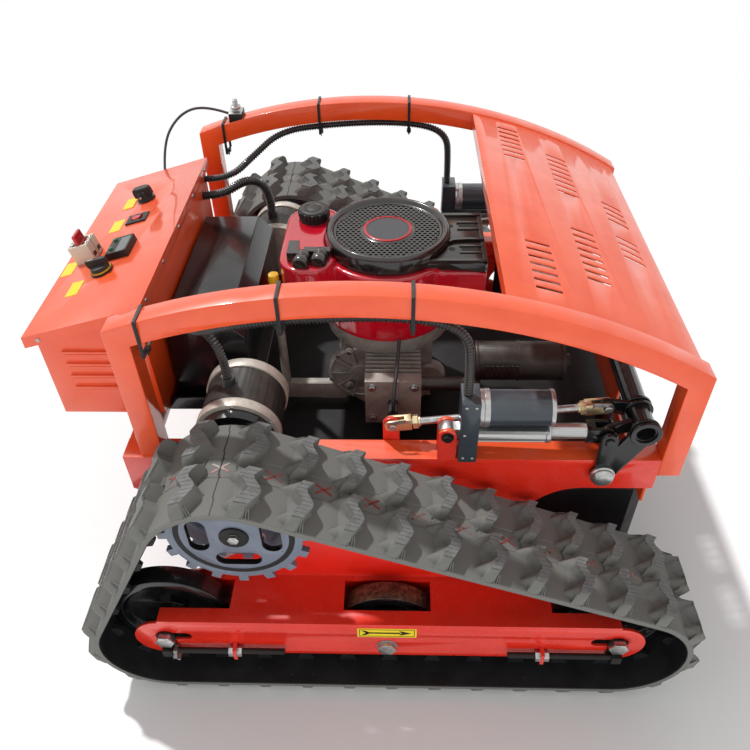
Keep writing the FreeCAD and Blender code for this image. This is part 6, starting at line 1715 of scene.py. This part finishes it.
@dataclass
class Lift:
    """The linkage that raises the deck, with its two electric actuators."""

    push_y: float = 322.0
    tube_z: float = 455.0
    motor_z: float = 503.0
    tie_front: tuple = (354.0, 481.0)
    tie_rear: tuple = (30.0, 440.0)
    tie_y: float = 294.0
    pivot: tuple = (353.0, 383.0)
    cross_tube: tuple = (400.0, 474.0)

    def build(self) -> None:
        """Builds the linkage of both sides."""
        softened("lift_rocker", [BLACK_ENAMEL, ZINC_PLATE], 0.9, [
            (1, lambda p: abs(p.middle.y) > 346.2 and away(p.middle, *self.pivot) < 18),
        ])
        self.collars()
        for word, side in SIDES:
            softened("rear_lever_" + word, [TRACK_COAT, ZINC_PLATE], 0.8, [
                (1, lambda p: away(p.middle, *self.tie_rear) < 6.2 and not 290.8 < abs(p.middle.y) < 297.2),
            ])
            self.actuator(word, side)
            self.tie_rod(word, side)

    def collars(self) -> None:
        """Adds the turned collars of the cross tube and the rounded heads of the rocker's bolts."""
        x, z = self.cross_tube
        a, b = self.pivot
        for word, side in SIDES:
            shape = Shape()
            for low, high, radius in ((286, 292, 22), (296, 301, 22), (336, 341, 22), (345, 350, 23)):
                shape.ring((x, low * side, z), (x, high * side, z), radius, 16.0, 48)
            shape.bolt((351.5, 344 * side, self.tube_z), (0, side, 0), 7.5, 9.5)
            piece(shape, "cross_tube_collars_" + word, "lift_rocker", [BLACK_ENAMEL],
                  edge_mm=0.5)
            head = Shape()
            profile = [(19, 0), (19, 3), (17.5, 4), (17, 4.5), (17, 6.5), (15.6, 9.5), (11.5, 12), (5, 13)]
            head.lathe(profile, (a, 346.0 * side, b), (a, 347.0 * side, b), 40)
            piece(head, "rocker_bolt_head_" + word, "lift_rocker", [ZINC_PLATE], smooth=40.0)

    def bare_metal(self, patch: Patch) -> bool:
        """Says whether a face of an actuator is bare: its tube, the motor's two end rings or its rear eye.

        Args:
            patch: the face.

        Returns:
            True where it is bare metal.
        """
        place = patch.middle
        if place.x < 129.8:
            return True
        on_motor = math.hypot(abs(place.y) - self.push_y, place.z - self.motor_z) < 29
        on_end = place.x < 163.2 or place.x > 258.8
        return place.x > 157.2 and (place.z < 474 or (on_motor and on_end))

    def actuator(self, word: str, side: int) -> None:
        """Dresses one actuator and adds its tube's grooves and rings, its screws and its lugs' bolts.

        Args:
            word: the side's name.
            side: minus one on the right and one on the left.
        """
        softened("actuator_" + word, [LIFT_ENAMEL, DRAWN_ALLOY], 0.8, [(1, self.bare_metal)])
        softened("actuator_rod_" + word, [DRAWN_ALLOY, BLACK_ENAMEL], 0.7,
                 [(1, lambda p: p.middle.x > 319.8)])
        trim = Shape()
        y = self.push_y * side
        trim.ring((163.2, y, self.motor_z), (171.5, y, self.motor_z), 28.6, 26.5, 48)
        for angle in (-62, -34, 34, 62, 118, 146, -118, -146):
            a = math.radians(angle)
            spot = (y + 17.0 * math.sin(a), self.tube_z + 17.0 * math.cos(a))
            trim.rod((157.5, *spot), (265.0, *spot), 1.1, 10)
        trim.box((157.5, y - 21, self.tube_z + 13), (262.0, y + 21, self.tube_z + 19))
        trim.ring((259.0, y, self.tube_z), (266.5, y, self.tube_z), 18.6, 12.6, 40)
        piece(trim, "actuator_tube_trim_" + word, "actuator_" + word, [DRAWN_ALLOY], edge_mm=0.4)
        screws = Shape()
        for x, z in ((136.5, 421), (150.5, 421), (136.5, 470), (150.5, 526), (136.5, 526)):
            screws.stars([((x, 349.0 * side, z), (0.0, side, 0.0))], 2.6)
        screws.stars([((265.0, *spot), Axis.X.value) for spot in circle(y, self.motor_z, 20, 3, 60)], 2.8)
        piece(screws, "actuator_screws_" + word, "actuator_" + word, [ZINC_PLATE])
        pins = Shape()
        for reach in (-1, 1):
            face = (self.push_y + 15.8 * reach) * side
            pins.bolt((113, face, self.tube_z), (0, side * reach, 0), 7.5, 9.5)
        piece(pins, "actuator_lug_bolts_" + word, "frame", [BLACK_OXIDE])

    def tie_rod(self, word: str, side: int) -> None:
        """Dresses one tie rod and adds its lock nuts, clevis pins and spring clips.

        Args:
            word: the side's name.
            side: minus one on the right and one on the left.
        """
        front, rear = (Vector((x, 0, z)) for x, z in (self.tie_front, self.tie_rear))
        way = (front - rear).normalized()
        y = self.tie_y * side
        low, high = rear.x + 32.5, front.x - 32.5
        softened("tie_rod_" + word, [YELLOW_ZINC, ZINC_PLATE], 0.8, [(1, lambda p: low < p.middle.x < high)])
        nuts, pins, clips = Shape(), Shape(), Shape()
        for end, inward in ((rear, way), (front, -way)):
            start = Vector((end.x, y, end.z)) + inward * 32
            nuts.lathe([(10.5, 0), (11.3, 1.2), (11.3, 8), (10.5, 9)], start, start + inward, 6)
            nuts.lathe([(8.0, 8.4), (8.0, 12)], start, start + inward, 24)
            for hand in (-1, 1):
                base = Vector((end.x, y + 9.9 * hand * side, end.z))
                out = Vector((0, hand * side, 0))
                pins.lathe([(6.4, 0), (6.4, 1.6), (5.4, 2.4)], base, base + out, 24)
            clip = Vector((end.x, y + 9.6 * side, end.z)) + inward * 4
            lift = inward.cross(Vector(Axis.Y.value)) * (1 if inward.x > 0 else -1)
            turn = Matrix((inward, Vector((0, side, 0)), lift)).transposed().to_4x4()
            place = Matrix.Translation(clip) @ turn
            profile = [(-12, 0, 2), (-8, 2.8, 10), (0, 3.6, 13), (10, 2.8, 13.5), (18, 1.2, 12),
                       (21, 3.4, 12)]
            rings = []
            for along, out_mm, up_mm in profile:
                section = ((out_mm - 0.4, up_mm - 3.5), (out_mm + 0.4, up_mm - 3.5),
                           (out_mm + 0.4, up_mm + 3.5), (out_mm - 0.4, up_mm + 3.5))
                rings.append([place @ Vector((along, *corner)) for corner in section])
            clips.loft(rings)
        piece(nuts, "lock_nuts_" + word, "tie_rod_" + word, [YELLOW_ZINC], edge_mm=0.3)
        piece(pins, "clevis_pins_" + word, "tie_rod_" + word, [ZINC_PLATE])
        piece(clips, "spring_clips_" + word, "tie_rod_" + word, [ZINC_PLATE], edge_mm=0.2)


@dataclass
class Deck:
    """The mower deck and the fasteners of the whole machine."""

    corner_bolt_z: tuple = (283.0, 294.0)
    tabs_x: tuple = (-230.0, 276.0)
    rod: tuple = (496.0, 104.0)

    def build(self) -> None:
        """Builds the deck and the fasteners."""
        softened("mower_deck", [DECK_PAINT, ZINC_PLATE], 1.4, [(1, self.on_corner_bolt)])
        softened("pivot_and_axle_bolts", [ZINC_PLATE], 0.6)
        softened("track_tensioners", [BLACK_OXIDE, TRACK_COAT, ZINC_PLATE], 0.5,
                 [(1, self.on_tab), (2, self.on_nut)])
        softened("aerial_clamp", [ZINC_PLATE, BLACK_NYLON], 0.6, [(1, lambda p: p.middle.z < 690)])

    def on_corner_bolt(self, patch: Patch) -> bool:
        """Tests whether a face of the deck is on one of its corner bolts.

        Args:
            patch: the face.

        Returns:
            True where it is.
        """
        low, high = self.corner_bolt_z
        place = patch.middle
        return low < place.z < high and abs(place.y) < 262 and not -250 <= place.x <= 430

    def tab_distance(self, patch: Patch) -> float:
        """Returns how far a face is along the belt from the nearer tab of a tension rod."""
        return min(abs(patch.middle.x - x) for x in self.tabs_x)

    def on_tab(self, patch: Patch) -> bool:
        """Says whether a face is on the welded tab of a tension rod."""
        return self.tab_distance(patch) < 3.2 and abs(patch.middle.y) > 486

    def on_nut(self, patch: Patch) -> bool:
        """Tests whether a face is on a nut beside a tab.

        Args:
            patch: the face.

        Returns:
            True where it is.
        """
        y, z = self.rod
        near = math.hypot(abs(patch.middle.y) - y, patch.middle.z - z) < 9.4
        return near and 3.2 < self.tab_distance(patch) < 12


@dataclass
class Cables:
    """Corrugated conduits, the aerial's cable and the cable ties."""

    trunk: tuple = ((-344.7, 232, 591), (-296, 232, 591), (-255, 285, 612), (-200, 320, 650),
                    (-100, 320, 663),
                    (10, 320, 667.5), (95, 320, 660), (134, 323, 636), (139, 327, 590), (139, 327, 534.4))
    branch: tuple = ((-344.7, 200, 572), (-306, 200, 572), (-262, 236, 590), (-225, 260, 560),
                     (-225, 260, 507.4))
    aerial: tuple = ((-296.4, 320, 686), (-335, 320, 700), (-380, 312, 698), (-415, 292, 668),
                     (-428, 270, 628), (-428, 252.4, 598))
    trunk_radius: float = 7.0
    branch_radii: dict = field(default_factory=lambda: {"right": 7.0, "left": 9.0})
    rib_pitch: float = 5.0
    valley_share: float = 0.76
    arch_middle_x: float = -24.2
    arch_middle_z: float = -255.9
    arch_radius: float = 969.0
    hoop_rear_x: float = -360.0
    hoop_length: float = 836.0
    tie_shares: tuple = (0.06, 0.29, 0.5)
    tie_drop: float = 57.5

    def build(self) -> None:
        """Builds the cables."""
        meshes = []
        for word, side in SIDES:
            for route, radius in ((self.trunk, self.trunk_radius), (self.branch, self.branch_radii[word])):
                path = path_object("conduit_path", [(x, y * side, z) for x, y, z in route], closed=False,
                                   smooth=True)
                carrier = linked("carrier", bpy.data.meshes.new("carrier"))
                values = {"Path": path, "Radius": radius * MM, "Step": self.rib_pitch / 4 * MM,
                          "Valley": self.valley_share, "Finish": CONDUIT_NYLON.material()}
                meshes.append(grown(carrier, self.tree(), values))
                bpy.data.objects.remove(path)
        meshes.append(cord("aerial_path", self.aerial, 2.5, 3))
        whole = bmesh.new()
        for mesh in meshes:
            whole.from_mesh(mesh)
        joined = bpy.data.meshes.new("conduits")
        whole.to_mesh(joined)
        whole.free()
        finished(joined, "ribbed_conduits", "frame", [CONDUIT_NYLON], ["cable_conduits"], 0.0,
                 30.0)
        softened("cable_ties", [BLACK_NYLON], 0.3)
        self.tie_heads()

    def tree(self) -> Tree:
        """Makes the tree that sweeps a tube with ribs along a path.

        Returns:
            The tree, made once.
        """
        known = bpy.data.node_groups.get("ribbed_tube")
        if known:
            return known
        tree, inlet = tree_with("ribbed_tube", (("Path", "NodeSocketObject"), ("Radius", "NodeSocketFloat"),
                                                ("Step", "NodeSocketFloat"), ("Valley", "NodeSocketFloat"),
                                                ("Finish", "NodeSocketMaterial")))
        outlet = inlet.outputs
        path = add_node(tree, "GeometryNodeObjectInfo", links={0: outlet["Path"]}).outputs["Geometry"]
        steps = add_node(tree, "GeometryNodeResampleCurve", {"mode": "LENGTH"},
                         {"Curve": path, "Length": outlet["Step"]}).outputs[0]
        index = add_node(tree, "GeometryNodeInputIndex").outputs[0]
        high = reckon(tree, "LESS_THAN", reckon(tree, "MODULO", index, 4.0), 1.5)
        share = add_node(tree, "ShaderNodeMapRange", {"To Max": 1.0},
                         {"Value": high, "To Min": outlet["Valley"]})
        ribbed = add_node(tree, "GeometryNodeSetCurveRadius",
                          links={0: steps, "Radius": share.outputs[0]}).outputs[0]
        circle = add_node(tree, "GeometryNodeCurvePrimitiveCircle", {"Resolution": 18},
                          {"Radius": outlet["Radius"]}).outputs[0]
        swept = add_node(tree, "GeometryNodeCurveToMesh", {"Fill Caps": True},
                         {"Curve": ribbed, "Profile Curve": circle, "Scale": share.outputs[0]})
        end_tree(tree, swept.outputs[0], outlet["Finish"])
        return tree

    def tie_heads(self) -> None:
        """Adds the locking head and the cut tail of each cable tie."""
        shape = Shape()
        for _, side in SIDES:
            for share in self.tie_shares:
                x = self.hoop_rear_x + self.hoop_length * share
                rise = math.sqrt(self.arch_radius ** 2 - (x - self.arch_middle_x) ** 2)
                z = self.arch_middle_z + rise - self.tie_drop
                low, high = sorted((316.0 * side, 325.0 * side))
                shape.box((x - 4.2, low, z - 5.2), (x + 4.2, high, z + 0.4))
                low, high = sorted((318.5 * side, 322.5 * side))
                shape.box((x - 0.8, low, z - 12.0), (x + 0.8, high, z - 4.0))
        piece(shape, "tie_heads", "frame", [BLACK_NYLON], edge_mm=0.4)


@dataclass
class Studio:
    """Floor, daylight and the camera of the photograph."""

    place: tuple = (0.03948, -1.09158, 1.24774)
    right: tuple = (0.9995, 0.0268, -0.0188)
    down: tuple = (0.0037, -0.6633, -0.7483)
    forward: tuple = (-0.0325, 0.7479, -0.6631)
    lens_mm: float = 34.905
    sensor_mm: float = 36.0
    sky: float = 0.47
    sun_watts: float = 2.6
    fill_watts: float = 32.0
    sun_way: tuple = (0.42, -0.46, -1.0)
    sun_angle: float = 2.5
    fill_place: tuple = (0.3, -3.2, 1.5)
    fill_way: tuple = (-0.1, 1.0, -0.36)
    floor_reach: float = 24.0
    floor_drop: float = -0.0005

    def build(self) -> None:
        """Builds the studio."""
        self.floor()
        self.world()
        self.lamps()
        self.camera()
        bpy.context.scene.view_settings.view_transform = "Standard"

    def floor(self) -> None:
        """Adds a pale floor that turns white away from the machine and keeps its shadow near it."""
        mesh = bpy.data.meshes.new("studio_floor")
        reach, drop = self.floor_reach, self.floor_drop
        corners = [(-reach, -reach, drop), (reach, -reach, drop), (reach, reach, drop), (-reach, reach, drop)]
        mesh.from_pydata(corners, [], [(0, 1, 2, 3)])
        made = linked("studio_floor", mesh)
        paper = bpy.data.materials.new("studio_paper")
        paper.use_nodes = True
        tree = paper.node_tree
        tree.nodes.clear()
        place = add_node(tree, "ShaderNodeTexCoord").outputs["Object"]
        far = add_node(tree, "ShaderNodeVectorMath", {"operation": "LENGTH"}, {0: place}).outputs["Value"]
        fade = add_node(tree, "ShaderNodeMapRange", {"From Min": 0.75, "From Max": 1.9},
                        {"Value": far}).outputs[0]
        ray = self.seen_rays(tree)
        share = reckon(tree, "MULTIPLY", fade, ray)
        matt = add_node(tree, "ShaderNodeBsdfDiffuse", {"Color": (0.9, 0.9, 0.9, 1.0)}).outputs[0]
        white = add_node(tree, "ShaderNodeEmission",
                         {"Color": (1.0, 1.0, 1.0, 1.0), "Strength": 1.0}).outputs[0]
        both = add_node(tree, "ShaderNodeMixShader", links={0: share, 1: matt, 2: white}).outputs[0]
        add_node(tree, "ShaderNodeOutputMaterial", links={"Surface": both})
        mesh.materials.append(paper)

    def seen_rays(self, tree: Tree) -> Socket:
        """Tells the camera's rays from the light's.

        Args:
            tree: the tree it goes in.

        Returns:
            A socket with one for rays from the camera, also by way of gloss or glass.
        """
        path = add_node(tree, "ShaderNodeLightPath").outputs
        through = reckon(tree, "MAXIMUM", path["Is Camera Ray"], path["Is Transmission Ray"])
        return reckon(tree, "MAXIMUM", through, path["Is Glossy Ray"])

    def world(self) -> None:
        """Lights the scene with an even sky that the camera and polished metal see as white."""
        world = bpy.data.worlds.new("studio_sky")
        bpy.context.scene.world = world
        world.use_nodes = True
        tree = world.node_tree
        tree.nodes.clear()
        seen = self.seen_rays(tree)
        sky = add_node(tree, "ShaderNodeBackground", {"Color": (1.0, 0.99, 0.98, 1.0), "Strength": self.sky})
        white = add_node(tree, "ShaderNodeBackground", {"Color": (1.0, 1.0, 1.0, 1.0), "Strength": 1.0})
        both = add_node(tree, "ShaderNodeMixShader", links={0: seen, 1: sky.outputs[0], 2: white.outputs[0]})
        add_node(tree, "ShaderNodeOutputWorld", links={0: both.outputs[0]})

    def lamps(self) -> None:
        """Adds a soft sun from behind on the machine's left, and a large fill from the camera's side."""
        sun = bpy.data.lights.new("sun", "SUN")
        sun.energy = self.sun_watts
        sun.angle = math.radians(self.sun_angle)
        key = linked("sun", sun)
        key.rotation_euler = Vector(self.sun_way).to_track_quat("-Z", "Y").to_euler()
        panel = bpy.data.lights.new("fill", "AREA")
        panel.energy = self.fill_watts
        panel.shape = "RECTANGLE"
        panel.size, panel.size_y = 3.6, 1.8
        soft = linked("fill", panel)
        soft.location = self.fill_place
        soft.visible_glossy = False
        soft.rotation_euler = Vector(self.fill_way).to_track_quat("-Z", "Y").to_euler()

    def camera(self) -> None:
        """Stands the camera where the photograph was taken."""
        data = bpy.data.cameras.new("camera")
        data.lens = self.lens_mm
        data.sensor_width = self.sensor_mm
        data.clip_end = 60.0
        made = linked("camera", data)
        back = [-value for value in self.forward]
        up = [-value for value in self.down]
        turn = Matrix((self.right, up, back)).transposed().to_4x4()
        made.matrix_world = Matrix.Translation(Vector(self.place)) @ turn
        bpy.context.scene.camera = made


def main() -> None:
    """Builds the machine's looks and the studio."""
    for word, side in SIDES:
        Track(word, side).build()
        RunningGear(word, side).build()
    for assembly in (Frame(), ControlBox(), PowerPack(), Engine(), Lift(), Deck(), Cables(), Studio()):
        assembly.build()
        log.info("%s is built", type(assembly).__name__)


if __name__ == "__main__":
    logging.basicConfig(level=logging.INFO)
    main()
